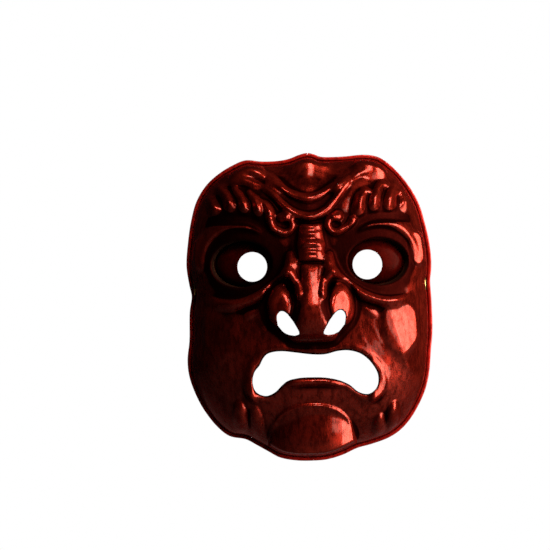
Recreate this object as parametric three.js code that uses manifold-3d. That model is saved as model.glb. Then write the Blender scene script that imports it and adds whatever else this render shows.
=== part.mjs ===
// A red lacquered noh mask of the glaring demon type, carved hollow from one block of cypress.
// Millimetres. Seen from the front, +X is to the right and +Z is up. The face looks along -Y.
// The origin lies on the flat back edge's plane, behind the middle of the face.
import * as THREE from "three";
import { mergeVertices } from "three/addons/utils/BufferGeometryUtils.js";
import Module from "manifold-3d";

const wasm = await Module();
wasm.setup();

// ---------- driving sizes ----------
const faceWidth = 167; // over the rim strips
const faceHeight = 210; // over the rim strips
const shellDepth = 56; // back plane to the front of the plain shell, without the features
const noseHeight = 29; // how far the nose stands out of the plain shell
const wall = 5.5; // thickness of the carved shell
const gap = 0.4; // between pieces that touch

const rimWide = 2; // rim strip, across
const rimDeep = 6; // rim strip, front to back

const sightHoleRadius = 10;
const eyeAcross = 21; // half width of the opening between the lids
const eyeUp = 15; // half height of that opening
const eyeFlange = 4; // width of the seat around the opening
const eyeSheet = 1.2; // thickness of the beaten copper eye
const eyeDome = 7; // how far the eyeball stands out of its flange
const eyeRecess = 1; // how deep the seat is carved into the inside of the lids
const eyeTilt = THREE.MathUtils.degToRad(16); // the eyes look a little outwards
const nailRadius = 0.8;
const nailHeadRadius = 1.6;
const nailHeadThick = 0.8;
const nailBite = 2.4; // how deep the nails go into the wood

const cordHoleRadius = 2.3; // the clear hole for the tie cord
const eyeletWall = 0.7;
const eyeletFlangeRadius = 4.6;
const eyeletSheet = 0.8;
const cordHoleUp = 14; // height of the cord holes on the side walls
const cordHoleIn = 13; // distance of the cord holes from the back plane

const padThick = 8;

// ---------- the carved form ----------
// The relief below is drawn on a face 167 wide and 210 high. It stretches with the overall sizes.
const drawnWidth = 167;
const drawnHeight = 210;
const across = faceWidth / drawnWidth;
const up = faceHeight / drawnHeight;

// Right half of the outline, from the crown to the chin.
const outlineHalf = [
  [0, 105], [8, 102.2], [25, 101], [42, 102], [54, 97], [64, 88], [72, 76.5], [78, 63], [82, 45],
  [83.5, 28], [82, 12], [82.6, -10], [83.5, -32], [82, -46], [77.5, -60], [70, -74], [60, -85.5],
  [46, -91], [30, -97.5], [16, -103.5], [0, -105],
];

// The mouth is carved by eye, so its two corners differ.
const mouthLoop = [
  [0, -31.8], [12, -31], [22, -29.3], [31, -31.2], [39.5, -38], [44.3, -47], [43.5, -55], [37, -59.2],
  [30, -56.5], [23, -51], [12, -47.6], [0, -47], [-11, -47.6], [-19, -51], [-24.5, -56.3], [-31, -59],
  [-37.5, -56], [-40, -48.5], [-37.2, -41], [-33.6, -35], [-30, -30.4], [-21, -29.1], [-12, -30.6],
];
const nostrilLoop = [[20.8, -2], [22.8, -7], [20, -14], [14.5, -17.8], [9, -17.6], [13, -9]];

// Swellings: place, half sizes, height, and how blunt the edge is (small is a crisp edge).
const swellings = [
  { x: 0, z: 93, rx: 11, rz: 15, high: 6, edge: 1.6 }, // boss on the forehead
  { x: 50, z: 90, rx: 17, rz: 13, high: 4, edge: 1.6 }, // temple
  { x: 47, z: 66, rx: 27, rz: 17, high: 5, edge: 1.2 }, // brow
  { x: 18, z: 57.5, rx: 9, rz: 8.5, high: 5, edge: 0.8 }, // scroll at the brow's inner end
  { x: 21, z: 4, rx: 11, rz: 13, high: 15, edge: 1 }, // wing of the nostril
  { x: 18, z: -10, rx: 14, rz: 13, high: 15, edge: 0.8 },
  { x: 62, z: -6, rx: 19, rz: 19, high: 7, edge: 1.5 }, // cheekbone
  { x: 0, z: -43, rx: 62, rz: 29, high: 8, edge: 1.6 }, // muzzle around the mouth
  { x: 0, z: -87, rx: 30, rz: 22.5, high: 15, edge: 0.6 }, // chin
  { x: 55, z: -74, rx: 6, rz: 11, high: 3, edge: 1.5 }, // folds of the jaw
  { x: 44, z: -80, rx: 6, rz: 10, high: 3, edge: 1.5 },
];

// The nose, from its root down: height up the face, share of noseHeight, half width.
const noseStations = [
  [64, 0, 9], [55, 0.1, 9], [44, 0.18, 10], [34, 0.28, 11], [24, 0.45, 11], [12, 0.68, 11.5], [0, 0.93, 14],
  [-8, 1, 16], [-15, 0.9, 17], [-20, 0.6, 17], [-25, 0.15, 17], [-29, 0, 17],
];

// Ridges raised along a line: points, half width, height.
const ridges = [
  // furrows of the forehead
  { line: [[0, 74], [9, 77.5], [17, 84.5], [26, 91], [38, 95]], wide: 6, high: 3.5 },
  { line: [[0, 61.5], [8, 64], [15, 71.5], [23, 81], [32, 88], [41, 91]], wide: 6, high: 3.5 },
  // round the eye
  { line: [[24, 46], [38, 55], [55, 57], [68, 50], [75.5, 38], [74, 20]], wide: 7, high: 4 },
  // from the nose over the cheek
  { line: [[9, 5], [10.5, 15], [13, 25], [22, 19.5], [33, 11], [46, 4.5], [58, 2]], wide: 6, high: 4 },
];

// The eye socket. Its depth is that of the lids.
const eyePlace = { x: 43.5, z: 30, depth: 42, reachX: 31, reachZ: 24 };
const sightHole = { x: 38.8, z: 28 };

const mix = (a, b, t) => a + (b - a) * t;
const smooth = (a, b, v) => {
  const t = THREE.MathUtils.clamp((v - a) / (b - a), 0, 1);
  return t * t * (3 - 2 * t);
};
const smoothMax = (a, b, k) => 0.5 * (a + b + Math.sqrt((a - b) ** 2 + k * k)) - 0.5 * k;

// A smooth line through points on the face, as a list of points.
function smoothLine(points, count, closed = false) {
  const places = points.map(([x, z]) => new THREE.Vector3(x, 0, z));
  const curve = new THREE.CatmullRomCurve3(places, closed, "centripetal");
  const line = curve.getPoints(count).map((p) => [p.x, p.z]);
  return closed ? line.slice(0, -1) : line;
}

function distanceToLine(x, z, line) {
  let best = Infinity;
  for (let i = 1; i < line.length; i++) {
    const [ax, az] = line[i - 1];
    const [dx, dz] = [line[i][0] - ax, line[i][1] - az];
    const t = THREE.MathUtils.clamp(((x - ax) * dx + (z - az) * dz) / (dx * dx + dz * dz), 0, 1);
    best = Math.min(best, Math.hypot(x - ax - t * dx, z - az - t * dz));
  }
  return best;
}

// Radius of the outline in each direction from the middle of the face, as a table by degree.
const mirrored = outlineHalf.slice(1, -1).reverse().map(([x, z]) => [-x, z]);
const stretched = (loop) => loop.map(([x, z]) => [x * across, z * up]);
const outlineLoop = stretched(smoothLine([...outlineHalf, ...mirrored], 720, true));
const outlineByAngle = outlineLoop
  .map(([x, z]) => ({ angle: Math.atan2(z, x), radius: Math.hypot(x, z) }))
  .sort((a, b) => a.angle - b.angle);

function outlineRadius(angle) {
  const list = outlineByAngle;
  let low = 0;
  let high = list.length - 1;
  const beyond = angle <= list[low].angle || angle >= list[high].angle;
  if (beyond) return mix(list[low].radius, list[high].radius, 0.5);
  while (high - low > 1) {
    const middle = (low + high) >> 1;
    if (list[middle].angle <= angle) low = middle;
    else high = middle;
  }
  const t = (angle - list[low].angle) / (list[high].angle - list[low].angle);
  return mix(list[low].radius, list[high].radius, t);
}

const roundness = 3; // of the plain shell seen from the front
const fullness = 2.4; // of its sides seen from above
const shellInset = rimWide + gap;
const ridgeLines = ridges.map((r) => ({ ...r, points: smoothLine(r.line, 24) }));

function swelling(x, z, s) {
  const q = ((x - s.x) / s.rx) ** 2 + ((z - s.z) / s.rz) ** 2;
  return q < 1 ? s.high * (1 - q) ** s.edge : 0;
}

function nose(x, z) {
  const i = noseStations.findIndex((s) => s[0] <= z);
  if (i < 1) return 0;
  const [above, below] = [noseStations[i - 1], noseStations[i]];
  const t = smooth(above[0], below[0], z);
  const reach = Math.abs(x) / mix(above[2], below[2], t);
  return reach < 1 ? noseHeight * mix(above[1], below[1], t) * (1 - reach ** 2.5) ** 1.4 : 0;
}

// How far the relief stands out of the plain shell at a drawn place.
function relief(x, z, plain, withRidges) {
  const side = Math.abs(x);
  let high = 0;
  for (const s of swellings) high = smoothMax(high, swelling(side, z, s), 2);
  high = smoothMax(high, nose(x, z), 3);
  const socket = Math.hypot((side - eyePlace.x) / eyePlace.reachX, (z - eyePlace.z) / eyePlace.reachZ);
  const socketFloor = Math.min(0, eyePlace.depth - Math.tan(eyeTilt) * (side - eyePlace.x) * across - plain);
  high = mix(socketFloor, high, smooth(0.84, 1.28, socket));
  if (!withRidges) return high;
  for (const r of ridgeLines) {
    const reach = distanceToLine(side, z, r.points) / r.wide;
    if (reach < 1) high += r.high * (1 - reach * reach) ** 2;
  }
  return high;
}

// Depth of the outer surface in front of the back plane, at a place on the face.
function outerDepth(x, z, withRidges) {
  const share = Math.hypot(x, z) / (outlineRadius(Math.atan2(z, x)) - shellInset);
  if (share >= 1) return 0;
  const plain = shellDepth * (1 - share ** roundness) ** (1 / fullness);
  return plain + relief(x / across, z / up, plain, withRidges) * smooth(1, 0.9, share);
}

// Depth of the inner surface: a ball as big as the wall is thick rolls along the inside of the outer one.
function innerDepth(x, z) {
  let depth = outerDepth(x, z, false) - wall;
  for (const share of [0.45, 0.75, 0.93, 1]) {
    for (let turn = 0; turn < 10; turn++) {
      const angle = (turn / 10) * 2 * Math.PI;
      const outer = outerDepth(x + Math.cos(angle) * wall * share, z + Math.sin(angle) * wall * share, false);
      depth = Math.min(depth, outer - wall * Math.sqrt(1 - share * share));
    }
  }
  return Math.max(0, depth);
}

// ---------- solids ----------
function geometryOf(positions, index) {
  const g = new THREE.BufferGeometry();
  g.setAttribute("position", new THREE.Float32BufferAttribute(positions, 3));
  g.setIndex(index);
  return g;
}

function solidOf(geometry, matrix) {
  const g = geometry.clone();
  if (matrix) g.applyMatrix4(matrix);
  g.deleteAttribute("normal");
  g.deleteAttribute("uv");
  const merged = mergeVertices(g, 1e-4);
  const mesh = { numProp: 3, vertProperties: merged.attributes.position.array, triVerts: merged.index.array };
  mesh.triVerts = new Uint32Array(mesh.triVerts);
  return new wasm.Manifold(new wasm.Mesh(mesh));
}

function geometryFrom(solid) {
  const mesh = solid.getMesh();
  return geometryOf(Array.from(mesh.vertProperties), Array.from(mesh.triVerts));
}

// Shares of the radius from the middle to the edge: even across the front, then even in depth down the side.
function ringShares(front, side) {
  const turn = 0.85;
  const shares = Array.from({ length: front }, (_, i) => ((i + 1) / front) * turn);
  const depthAtTurn = (1 - turn ** roundness) ** (1 / fullness);
  for (let i = 1; i <= side; i++) {
    const depth = depthAtTurn * (1 - i / side);
    shares.push((1 - depth ** fullness) ** (1 / roundness));
  }
  return shares;
}

const spokes = 80;
const spokeAngles = Array.from({ length: spokes }, (_, j) => -Math.PI + ((j + 0.5) / spokes) * 2 * Math.PI);
function shellSolid() {
  const positions = [];
  const index = [];
  const loops = [];
  for (const outside of [true, false]) {
    const shares = outside ? ringShares(19, 6) : ringShares(12, 3);
    const depthAt = (x, z) => (outside ? outerDepth(x, z, true) : innerDepth(x, z));
    const middle = positions.length / 3;
    positions.push(0, -depthAt(0, 0), 0);
    const ring = (i, j) => middle + 1 + i * spokes + (j % spokes);
    for (const share of shares) {
      for (let j = 0; j < spokes; j++) {
        const angle = spokeAngles[j];
        const reach = (outlineRadius(angle) - shellInset - (outside ? 0 : wall)) * share;
        const [x, z] = [Math.cos(angle) * reach, Math.sin(angle) * reach];
        positions.push(x, share === 1 ? 0 : -depthAt(x, z), z);
      }
    }
    const face = (a, b, c) => (outside ? index.push(a, b, c) : index.push(a, c, b));
    const step = (a, b) => Math.abs(positions[3 * a + 1] - positions[3 * b + 1]);
    for (let j = 0; j < spokes; j++) {
      face(middle, ring(0, j), ring(0, j + 1));
      for (let i = 1; i < shares.length; i++) {
        const [a, b, c, d] = [ring(i - 1, j), ring(i, j), ring(i, j + 1), ring(i - 1, j + 1)];
        // The fold between the two triangles runs the way the relief is flattest.
        if (step(a, c) < step(b, d)) {
          face(a, b, c);
          face(a, c, d);
        } else {
          face(a, b, d);
          face(b, c, d);
        }
      }
    }
    loops.push((j) => ring(shares.length - 1, j));
  }
  const [outer, inner] = loops;
  for (let j = 0; j < spokes; j++) {
    index.push(outer(j), inner(j), inner(j + 1));
    index.push(outer(j), inner(j + 1), outer(j + 1));
  }
  return solidOf(geometryOf(positions, index));
}

// A cutter of the given loop, right through the mask from front to back.
function throughCutter(loop) {
  const shape = new THREE.Shape(loop.map(([x, z]) => new THREE.Vector2(x, z)));
  const depth = 2 * (shellDepth + noseHeight);
  const g = new THREE.ExtrudeGeometry(shape, { depth, bevelEnabled: false });
  return solidOf(g.translate(0, 0, -depth / 2).rotateX(Math.PI / 2));
}

// A round cylinder or a pipe along an axis, from start to end on that axis.
function roundSolid(radius, from, to, segments = 20, inner = 0) {
  const profile = [[inner, from], [radius, from], [radius, to], [inner, to]];
  if (inner > 0) profile.push([inner, from]);
  return new THREE.LatheGeometry(profile.map(([r, y]) => new THREE.Vector2(r, y)), segments);
}

// ---------- eyes ----------
const seatDepth = eyePlace.depth - wall + eyeRecess; // flat seat carved behind the lids
function eyeMatrix(side) {
  const place = new THREE.Vector3(side * eyePlace.x * across, -seatDepth, eyePlace.z * up);
  const turn = new THREE.Quaternion().setFromAxisAngle(new THREE.Vector3(0, 0, 1), side * eyeTilt);
  return new THREE.Matrix4().compose(place, turn, new THREE.Vector3(1, 1, 1));
}

const flangeAcross = eyeAcross + eyeFlange;
const flangeUp = eyeUp + eyeFlange;
const nailAngles = [38, 142, 218, 322].map(THREE.MathUtils.degToRad);
function nailPlaces() {
  return nailAngles.map((a) => [
    Math.cos(a) * (eyeAcross + eyeFlange / 2 + gap),
    Math.sin(a) * (eyeUp + eyeFlange / 2 + gap),
  ]);
}

function nailGeometry() {
  const head = 2 * gap + eyeSheet;
  const profile = [
    [0, -nailBite], [nailRadius * 0.5, -nailBite], [nailRadius, -nailBite + 1], [nailRadius, head],
    [nailHeadRadius, head], [nailHeadRadius * 0.7, head + nailHeadThick], [0, head + nailHeadThick],
  ];
  return new THREE.LatheGeometry(profile.map(([r, y]) => new THREE.Vector2(r, y)), 10);
}

// The eyeball and its flange, about the eye's own axis, which runs along Y.
function eyeSolid() {
  const steps = 5;
  const profile = [];
  const lip = eyeFlange / eyeUp; // flange width as a share of the opening's half height
  profile.push([1 + lip, gap], [0.97, gap]);
  for (let i = 1; i <= steps; i++) {
    const a = (i / steps) * (Math.PI / 2);
    profile.push([0.97 * Math.cos(a), gap - eyeDome * Math.sin(a)]);
  }
  profile[profile.length - 1][0] = 0;
  for (let i = steps; i >= 1; i--) {
    const a = (i / steps) * (Math.PI / 2);
    profile.push([i === steps ? 0 : 0.89 * Math.cos(a), gap + eyeSheet - eyeDome * Math.sin(a)]);
  }
  profile.push([0.89, gap + eyeSheet], [1 + lip, gap + eyeSheet], [1 + lip, gap]);
  const g = new THREE.LatheGeometry(profile.map(([r, y]) => new THREE.Vector2(r, y)).reverse(), 28);
  return g.scale((flangeAcross - gap) / (1 + lip), 1, (flangeUp - gap) / (1 + lip));
}

function eyeHoleCutter(side, radius) {
  const hole = { x: side * sightHole.x * across, z: sightHole.z * up };
  return solidOf(roundSolid(radius, -2 * shellDepth, shellDepth, 28).translate(hole.x, 0, hole.z));
}

// ---------- cord eyelets ----------
// Half width of the shell at the height of the cord holes.
function shellHalfWidth(z, inset) {
  let low = 0;
  let high = faceWidth;
  for (let i = 0; i < 40; i++) {
    const x = (low + high) / 2;
    const reach = outlineRadius(Math.atan2(z, x)) - shellInset - inset;
    const share = Math.hypot(x, z) / reach;
    const most = shellDepth - inset;
    const plain = share < 1 ? most * (1 - share ** roundness) ** (1 / fullness) : 0;
    if (plain > cordHoleIn) low = x;
    else high = x;
  }
  return low;
}
const outerSeat = shellHalfWidth(cordHoleUp, 0) - 1.2;
const innerSeat = shellHalfWidth(cordHoleUp, wall) + 0.9;
const barrelRadius = cordHoleRadius + eyeletWall;

// Geometry made about Y is laid along X and moved to the cord hole of one side.
function atCordHole(geometry, side) {
  return geometry.rotateZ(-side * (Math.PI / 2)).translate(0, -cordHoleIn, cordHoleUp);
}

function eyeletGeometry(side) {
  const outer = outerSeat + gap + eyeletSheet;
  const inner = innerSeat - 2 * gap - eyeletSheet;
  const profile = [
    [cordHoleRadius, inner], [barrelRadius, inner], [barrelRadius, outerSeat + gap],
    [eyeletFlangeRadius, outerSeat + gap], [eyeletFlangeRadius - 0.4, outer], [cordHoleRadius, outer],
    [cordHoleRadius, inner],
  ];
  return atCordHole(new THREE.LatheGeometry(profile.map(([r, y]) => new THREE.Vector2(r, y)), 24), side);
}

function washerGeometry(side) {
  const to = innerSeat - gap;
  return atCordHole(roundSolid(eyeletFlangeRadius, to - eyeletSheet, to, 24, barrelRadius + gap), side);
}

// ---------- rim strips ----------
// A strip along half the outline, with a rounded front edge.
function rimGeometry(side) {
  const front = [[0, 1], [rimWide / 2, 0], [rimWide, 1]].map(([out, back]) => [out, back - rimDeep]);
  const section = [[0, 0], ...front, [rimWide, 0]];
  const positions = [];
  const index = [];
  const joint = gap / faceHeight; // angle left free at each end, where the two strips meet
  const turns = spokeAngles.filter((a) => Math.abs(a) < Math.PI / 2 - 2 * joint);
  turns.unshift(-Math.PI / 2 + joint);
  turns.push(Math.PI / 2 - joint);
  const steps = turns.length - 1;
  for (const turn of turns) {
    const angle = side > 0 ? turn : Math.sign(turn) * Math.PI - turn;
    const reach = outlineRadius(angle) - rimWide;
    for (const [out, y] of section) {
      positions.push(Math.cos(angle) * (reach + out), y, Math.sin(angle) * (reach + out));
    }
  }
  const n = section.length;
  const face = (a, b, c) => (side > 0 ? index.push(a, b, c) : index.push(a, c, b));
  for (let i = 0; i < steps; i++) {
    for (let k = 0; k < n; k++) {
      const [a, b] = [i * n + k, i * n + ((k + 1) % n)];
      face(a, b, b + n);
      face(a, b + n, a + n);
    }
  }
  for (let k = 1; k < n - 1; k++) {
    face(0, k + 1, k);
    face(steps * n, steps * n + k, steps * n + k + 1);
  }
  return geometryOf(positions, index);
}

// ---------- pads ----------
const pads = {
  forehead_pad: { x: 0, z: 80, rx: 30, rz: 11 },
  right_cheek_pad: { x: 57, z: -22, rx: 9.5, rz: 19 },
  left_cheek_pad: { x: -57, z: -22, rx: 9.5, rz: 19 },
};

// A pad is shaped by the inside of the shell that it lies on, and is thickest in its middle.
function padGeometry(pad, shell) {
  const rings = 5;
  const around = 24;
  const positions = [];
  const index = [];
  const place = (share, angle, lift) => {
    const [x, z] = [pad.x + Math.cos(angle) * pad.rx * share, pad.z + Math.sin(angle) * pad.rz * share];
    positions.push(x * across, lift - innerDepth(x * across, z * up), z * up);
  };
  for (const front of [true, false]) {
    const middle = positions.length / 3;
    place(0, 0, front ? -wall / 2 : padThick);
    for (let i = 1; i <= rings; i++) {
      for (let j = 0; j < around; j++) {
        const share = i / rings;
        const lift = front ? -wall / 2 : padThick * (0.35 + 0.65 * Math.sqrt(1 - share ** 3));
        place(share, (j / around) * 2 * Math.PI, lift);
      }
    }
    const at = (i, j) => middle + 1 + (i - 1) * around + (j % around);
    const face = (a, b, c) => (front ? index.push(a, b, c) : index.push(a, c, b));
    for (let j = 0; j < around; j++) {
      face(middle, at(1, j), at(1, j + 1));
      for (let i = 2; i <= rings; i++) {
        face(at(i - 1, j), at(i, j), at(i, j + 1));
        face(at(i - 1, j), at(i, j + 1), at(i - 1, j + 1));
      }
    }
  }
  const last = (front, j) => (front ? 0 : 1 + rings * around) + 1 + (rings - 1) * around + (j % around);
  for (let j = 0; j < around; j++) {
    index.push(last(true, j), last(false, j), last(false, j + 1));
    index.push(last(true, j), last(false, j + 1), last(true, j + 1));
  }
  return geometryFrom(solidOf(geometryOf(positions, index)).subtract(shell.translate([0, gap, 0])));
}

// ---------- cutting the shell ----------
function cutShell(uncut) {
  let shell = uncut;
  const mirrorLoop = (loop) => loop.map(([x, z]) => [-x, z]).reverse();
  const cutters = [
    throughCutter(stretched(smoothLine(mouthLoop, 60, true))),
    throughCutter(stretched(smoothLine(nostrilLoop, 18, true))),
    throughCutter(stretched(mirrorLoop(smoothLine(nostrilLoop, 18, true)))),
  ];
  for (const side of [-1, 1]) {
    const eye = eyeMatrix(side);
    const opening = roundSolid(1, -wall * 4, wall, 40).scale(eyeAcross, 1, eyeUp);
    const seat = roundSolid(1, 0, shellDepth, 40).scale(flangeAcross + gap, 1, flangeUp + gap);
    cutters.push(solidOf(opening, eye), solidOf(seat, eye));
    for (const [x, z] of nailPlaces()) {
      const hole = roundSolid(nailRadius + gap, -nailBite - gap, 1, 8);
      cutters.push(solidOf(hole.translate(x, 0, z), eye));
    }
    const bore = roundSolid(barrelRadius + gap, innerSeat - wall, outerSeat + wall, 20);
    const outerFlat = roundSolid(eyeletFlangeRadius + gap, outerSeat, outerSeat + wall, 20);
    const innerFlat = roundSolid(eyeletFlangeRadius + gap, innerSeat - wall, innerSeat, 20);
    for (const cutter of [bore, outerFlat, innerFlat]) cutters.push(solidOf(atCordHole(cutter, side)));
  }
  for (const cutter of cutters) shell = shell.subtract(cutter);
  return shell;
}

// ---------- materials and the assembled group ----------
const lacquer = new THREE.MeshStandardMaterial({ color: 0x7a140c, roughness: 0.3, metalness: 0 });
const rimLacquer = new THREE.MeshStandardMaterial({ color: 0x8f1a14, roughness: 0.3, metalness: 0 });
const eyeLacquer = new THREE.MeshStandardMaterial({ color: 0x64100a, roughness: 0.3, metalness: 0 });
const brass = new THREE.MeshStandardMaterial({ color: 0x9a7436, roughness: 0.4, metalness: 1 });
const copper = new THREE.MeshStandardMaterial({ color: 0x8a4a30, roughness: 0.45, metalness: 1 });
const padCloth = new THREE.MeshStandardMaterial({ color: 0x6b5a44, roughness: 0.9, metalness: 0 });

const mask = new THREE.Group();
function add(name, geometry, material, parent = mask) {
  const mesh = new THREE.Mesh(geometry, material);
  mesh.name = name;
  parent.add(mesh);
  return mesh;
}

const uncutShell = shellSolid();
add("face_shell", geometryFrom(cutShell(uncutShell)), lacquer);
for (const [name, side] of [["left", -1], ["right", 1]]) {
  add(`${name}_rim_strip`, rimGeometry(side), rimLacquer);
  const eye = new THREE.Group();
  eye.applyMatrix4(eyeMatrix(side));
  mask.add(eye);
  const toEye = eyeMatrix(side).invert();
  const nails = nailPlaces();
  let ball = solidOf(eyeSolid()).subtract(eyeHoleCutter(side, sightHoleRadius).transform(toEye.elements));
  for (const [x, z] of nails) {
    ball = ball.subtract(solidOf(roundSolid(nailRadius + gap, -wall, wall, 8).translate(x, 0, z)));
  }
  add(`${name}_eye`, geometryFrom(ball), eyeLacquer, eye);
  nails.forEach(([x, z], i) => {
    const g = nailGeometry().translate(x, 0, z);
    add(`${name}_eye_nail_${i + 1}`, g, copper, eye);
  });
  add(`${name}_cord_eyelet`, eyeletGeometry(side), brass);
  add(`${name}_cord_washer`, washerGeometry(side), brass);
}
for (const [name, pad] of Object.entries(pads)) add(name, padGeometry(pad, uncutShell), padCloth);

export default mask;
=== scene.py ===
# A red lacquered noh mask of a glaring demon, built around its imported CAD frame.
# Lengths on the face are in millimetres until the meshes are built, which are in metres.
import math
import bpy
import numpy as np
from mathutils import Matrix, Vector


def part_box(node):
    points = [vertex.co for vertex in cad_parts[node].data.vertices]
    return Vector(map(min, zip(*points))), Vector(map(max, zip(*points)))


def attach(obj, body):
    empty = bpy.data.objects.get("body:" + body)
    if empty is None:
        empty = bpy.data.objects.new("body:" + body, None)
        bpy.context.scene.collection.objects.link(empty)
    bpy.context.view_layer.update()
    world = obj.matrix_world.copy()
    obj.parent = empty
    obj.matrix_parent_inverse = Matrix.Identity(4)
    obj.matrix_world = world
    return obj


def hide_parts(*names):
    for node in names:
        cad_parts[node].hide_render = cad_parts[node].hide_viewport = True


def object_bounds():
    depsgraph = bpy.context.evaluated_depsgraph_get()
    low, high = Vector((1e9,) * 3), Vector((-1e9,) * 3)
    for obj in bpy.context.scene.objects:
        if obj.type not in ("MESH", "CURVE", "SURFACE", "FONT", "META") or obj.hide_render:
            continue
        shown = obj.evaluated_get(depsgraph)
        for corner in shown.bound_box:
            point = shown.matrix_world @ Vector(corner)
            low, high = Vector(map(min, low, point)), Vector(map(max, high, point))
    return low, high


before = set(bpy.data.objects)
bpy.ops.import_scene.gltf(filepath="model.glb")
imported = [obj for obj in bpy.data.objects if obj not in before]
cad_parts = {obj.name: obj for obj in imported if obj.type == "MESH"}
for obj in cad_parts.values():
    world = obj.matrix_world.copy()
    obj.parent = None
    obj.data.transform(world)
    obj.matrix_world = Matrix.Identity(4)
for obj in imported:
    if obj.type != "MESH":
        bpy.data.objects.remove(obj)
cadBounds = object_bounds()
mm = 0.001
print("frame loaded")


# Lines on the face: x to the right, z up.

def smoothLine(points, perSpan=8, closed=False):
    # Centripetal Catmull-Rom through the given points.
    p = np.array(points, float)
    if closed:
        p = np.vstack([p[-1], p, p[0], p[1]])
    else:
        p = np.vstack([2 * p[0] - p[1], p, 2 * p[-1] - p[-2]])
    out = []
    for i in range(1, len(p) - 2):
        p0, p1, p2, p3 = p[i - 1:i + 3]
        k = [max(np.linalg.norm(b - a), 1e-6) ** 0.5 for a, b in ((p0, p1), (p1, p2), (p2, p3))]
        m1 = (p1 - p0) / k[0] - (p2 - p0) / (k[0] + k[1]) + (p2 - p1) / k[1]
        m2 = (p2 - p1) / k[1] - (p3 - p1) / (k[1] + k[2]) + (p3 - p2) / k[2]
        m1, m2 = m1 * k[1], m2 * k[1]
        t = np.arange(perSpan)[:, None] / perSpan
        out.append((2 * t**3 - 3 * t**2 + 1) * p1 + (t**3 - 2 * t**2 + t) * m1
                   + (3 * t**2 - 2 * t**3) * p2 + (t**3 - t**2) * m2)
    line = np.vstack(out)
    return line if closed else np.vstack([line, p[-2]])


def distanceTo(x, z, line, closed=False):
    # Distance to a line, and how far along it the nearest point lies, from 0 to 1.
    ends = np.vstack([line, line[:1]]) if closed else line
    lengths = np.linalg.norm(np.diff(ends, axis=0), axis=1)
    start = np.concatenate([[0], np.cumsum(lengths)])
    best = np.full(x.shape, 1e9)
    along = np.zeros(x.shape)
    for a, b, s, n in zip(ends[:-1], ends[1:], start, lengths):
        d = b - a
        t = np.clip(((x - a[0]) * d[0] + (z - a[1]) * d[1]) / (n * n), 0, 1)
        away = np.hypot(x - a[0] - t * d[0], z - a[1] - t * d[1])
        near = away < best
        best = np.where(near, away, best)
        along = np.where(near, (s + t * n) / start[-1], along)
    return best, along


def insideLoop(x, z, loop):
    inside = np.zeros(x.shape, bool)
    for (ax, az), (bx, bz) in zip(loop, np.roll(loop, -1, axis=0)):
        crosses = (az > z) != (bz > z)
        at = (bx - ax) * (z - az) / ((bz - az) if bz != az else 1e-9) + ax
        inside ^= crosses & (x < at)
    return inside


def loopDistance(x, z, loop):
    away = distanceTo(x, z, loop, closed=True)[0]
    return np.where(insideLoop(x, z, loop), -away, away)


def mirrored(points):
    return [(-px, pz) for px, pz in points]


def smoothStep(a, b, v):
    t = np.clip((v - a) / (b - a), 0, 1)
    return t * t * (3 - 2 * t)


def smoothMax(a, b, k):
    return 0.5 * (a + b + np.sqrt((a - b) ** 2 + k * k)) - 0.5 * k


def roundedMax(a, b, k):
    # The larger of two distances, rounded over k where they meet, and exact elsewhere.
    h = np.clip(0.5 + 0.5 * (a - b) / k, 0, 1)
    return b + (a - b) * h + k * h * (1 - h)


# Sizes shared by the shell and what fits to it.

shell = {
    "depth": 56.0, "wall": 5.5, "roundness": 3.0, "fullness": 2.4,
    "rimWide": 2.0, "rimDeep": 6.0, "gap": 0.4,
    "gridStep": 0.5, "voxel": 1.0, "insideKeep": 0.25,
}
eye = {
    "x": 43.5, "z": 30.0, "lidDepth": 42.0, "across": 21.0, "up": 15.0, "flange": 4.0,
    "sheet": 1.2, "tilt": math.radians(16), "recess": 1.0,
    "holeX": 38.8, "holeZ": 28.0, "holeRadius": 10.0,
}
cordHole = {"radius": 3.4, "flangeRadius": 5.0, "up": 14.0, "inward": 13.0}

outlineRight = [
    (0, 105), (4.5, 104), (9, 102.3), (24, 102), (40, 102.9), (49, 101), (57, 95.2), (65, 86.5), (71.5, 77),
    (76, 67.5), (79.2, 56), (81.8, 44), (83.1, 32), (83, 24), (82.2, 17), (82.8, 3), (83, -18), (81.6, -32),
    (80.2, -46), (77.6, -57), (73, -67.5), (66.5, -78), (60, -85), (52, -90.2), (40, -94.4), (30, -97),
    (20, -101.4), (9, -104.4),
]
outlineLeft = [
    (0, -105), (-12, -104.6), (-23, -102.3), (-30, -98.4), (-38, -93.8), (-46, -89.4), (-57, -87),
    (-65, -80.6), (-73.5, -69.5), (-79.2, -58.5), (-83.4, -46), (-84.4, -35), (-82.9, -22), (-82.3, -2),
    (-80.7, 9), (-82.2, 17), (-83.8, 30), (-82.5, 45), (-80, 60), (-75.8, 74), (-68.8, 84.8), (-60, 92.4),
    (-51, 97.6), (-42.5, 100.8), (-32, 99.8), (-20, 100), (-12, 101.4), (-5, 104),
]
outline = smoothLine(outlineRight + outlineLeft, 6, closed=True)
outlineAngle = np.arctan2(outline[:, 1], outline[:, 0])
outlineOrder = np.argsort(outlineAngle)


def outlineRadius(angle):
    radius = np.hypot(*outline[outlineOrder].T)
    return np.interp(angle, outlineAngle[outlineOrder], radius, period=2 * math.pi)


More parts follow.
